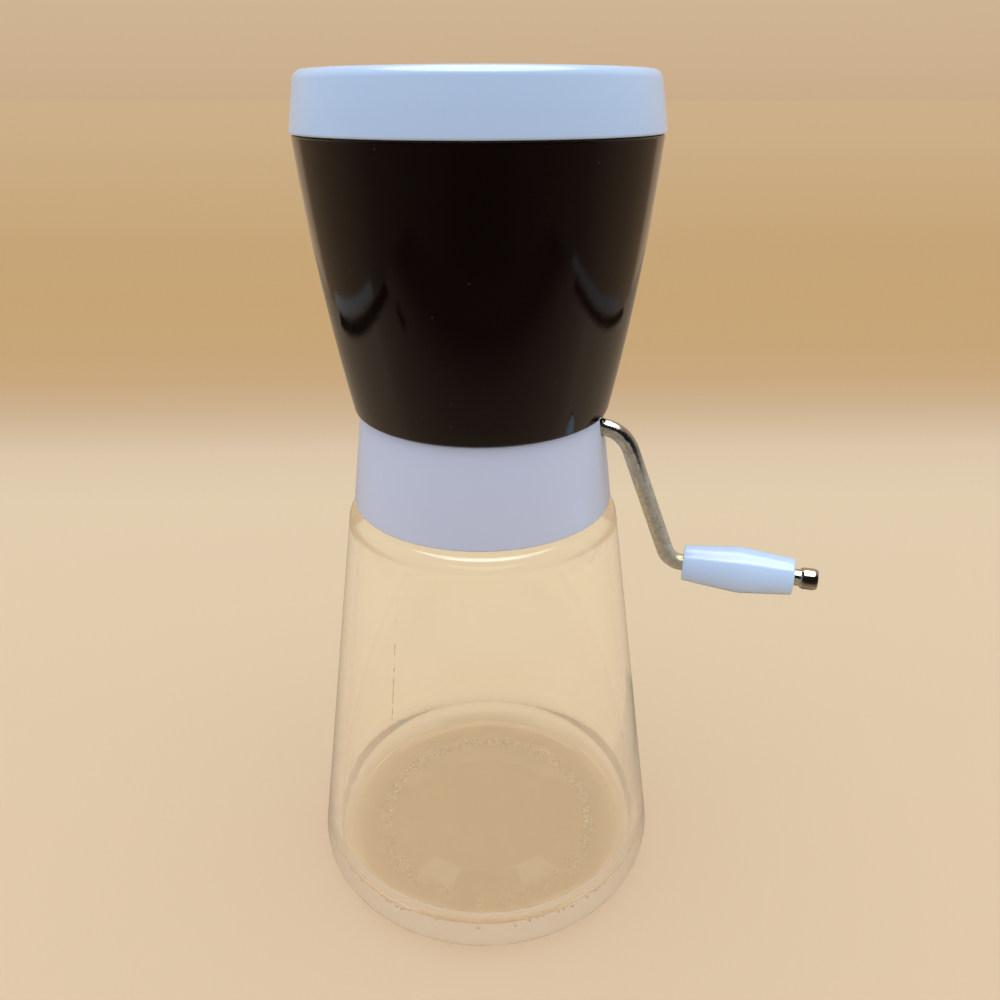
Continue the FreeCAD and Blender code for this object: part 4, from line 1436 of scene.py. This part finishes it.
    def paper(self) -> bpy.types.Material:
        """Make the cream craft paper.

        Returns:
            Its material.
        """
        material = bpy.data.materials.new("cream_craft_paper")
        add = emptied(material)
        place = add("TexCoord").outputs["Object"]
        spot = self.towards(add, place)
        behind = add("SeparateXYZ", [spot]).outputs["Y"]
        looked, seen = self.looked_at(add), self.sweep_colour(add, behind)
        # The paper's own colour, which this light makes look like the colour to be seen.
        mixed = add("Mix", {0: 1.0, 6: seen, 7: linear(self.light)}, data_type="RGBA", blend_type="MULTIPLY")
        own = mixed.outputs[2]
        room = self.room_colour(add, spot, behind, own)
        tone = add("Mix", {0: looked, 6: room, 7: own}, data_type="RGBA").outputs[2]
        # Paper fibre: 0.8 mm felt, seen only close by.
        felt = add("TexNoise", {"Vector": place, "Scale": per_metre(0.8), "Detail": 3.0})
        bump = add("Bump", {"Height": felt, "Strength": 0.05, "Distance": 0.0002})
        shader = add("BsdfPrincipled", {
            "Base Color": tone, "Roughness": 1.0, "Specular IOR Level": 0.0, "Normal": bump,
        })
        # The paper's own even glow paints out part of the object's shadow on it.
        # Painted shade under the glass's foot and painted light beside it, for what is seen through the
        # glass.
        away = add("VectorMath", [spot], operation="LENGTH").outputs["Value"]
        painted_glass_shade_and_light = add("MapRange", [away, 38 * MM, 52 * MM, -0.25, 0.36])
        clear = add("LightPath").outputs["Is Transmission Ray"]
        level = add("Math", [clear, painted_glass_shade_and_light, 1.0], operation="MULTIPLY_ADD")
        even = add("Emission", {"Color": seen, "Strength": level})
        share = add("Math", [looked, self.glow], operation="MULTIPLY")
        add("OutputMaterial", {"Surface": add("MixShader", [share, shader, even])})
        return material

    def floor(self) -> None:
        """Lay the paper."""
        sheet = Blank()
        bmesh.ops.create_circle(sheet.work, cap_ends=True, radius=self.floor_radius * MM, segments=128)
        sheet.place(Matrix.Translation((0, 0, self.floor_level * MM)))
        paper = put("paper_floor", sheet.mesh("paper_floor"))
        paper.data.materials.append(self.paper())

    def world(self) -> None:
        """Fill the room: a cool even light, brighter from both sides, the paper's colour where it is looked
        at, and for gloss alone a white ceiling of painted highlights, a dark front and a cream back."""
        world = bpy.data.worlds.new("room")
        bpy.context.scene.world = world
        add = emptied(world)
        parts = add("SeparateXYZ", [self.towards(add, add("TexCoord").outputs["Generated"])]).outputs
        behind, up = parts["Y"], parts["Z"]
        wide = add("Math", [parts["X"], parts["X"]], operation="MULTIPLY")
        cool = add("Mix", {0: wide, 6: linear("#98A4C1"), 7: linear("#C8DFFF")}, data_type="RGBA").outputs[2]
        ambient = add("Background", {"Color": cool, "Strength": self.ambient})
        cream = add("ValToRGB", [up], [(0.0, "#CAAE8C"), (0.09, "#D0B595")])
        paper = add("Background", {"Color": cream, "Strength": 1.0})
        share = add("Math", [behind, -0.5, 0.5], operation="MULTIPLY_ADD")
        wall = add("ValToRGB", [share], [
            (0.15, "#CAAE8C"), (0.4, "#A39C94"), (0.55, "#7C7A78"), (0.7, "#2A2522"), (1.0, "#1C1815"),
        ])
        # The lit ceiling, seen only by gloss, is a painted highlight that lights nothing. It leans back a
        # little from straight overhead.
        lean = add("Math", [behind, 0.05, up], operation="MULTIPLY_ADD")
        lit = add("MapRange", [lean, 0.8, 0.88])
        sight = add("Mix", {0: lit, 6: wall, 7: linear("#FFFFFF")}, data_type="RGBA").outputs[2]
        bright = add("MapRange", [lit, 0.0, 1.0, 1.0, self.ceiling])
        # A row of brighter painted lamps in it, over the camera, which also only gloss sees.
        row = add("Math", [behind, self.lamp_row], operation="ADD")
        row = add("Math", [row], operation="ABSOLUTE")
        row = add("MapRange", [row, 0.12, 0.08, 0.0, self.ceiling])
        bright = add("Math", [row, lit, bright], operation="MULTIPLY_ADD")
        gloss = add("Background", {"Color": sight, "Strength": bright})
        first = add("MixShader", [add("LightPath").outputs["Is Glossy Ray"], ambient, gloss])
        add("OutputWorld", {"Surface": add("MixShader", [self.looked_at(add), first, paper])})

    def lamp(self) -> None:
        """Hang the soft overhead light."""
        sun = bpy.data.lights.new("overhead", "SUN")
        sun.energy, sun.angle, sun.color = 1.0, math.radians(self.lamp_angle), (0.96, 0.96, 0.84)
        put("overhead", sun)

    def build(self) -> None:
        """Set the whole studio up."""
        self.camera()
        self.floor()
        self.world()
        self.lamp()
        bpy.context.scene.view_settings.view_transform = "Standard"


def main() -> None:
    """Build the chopper from the jar up, then the studio."""
    logging.basicConfig(level=logging.INFO, format="%(name)s %(message)s")
    for assembly in (Jar(), Collar(), Hopper(), Lid(), Screws(), Crank(), *Stamping):
        assembly.build()
    Studio().build()


if __name__ == "__main__":
    main()
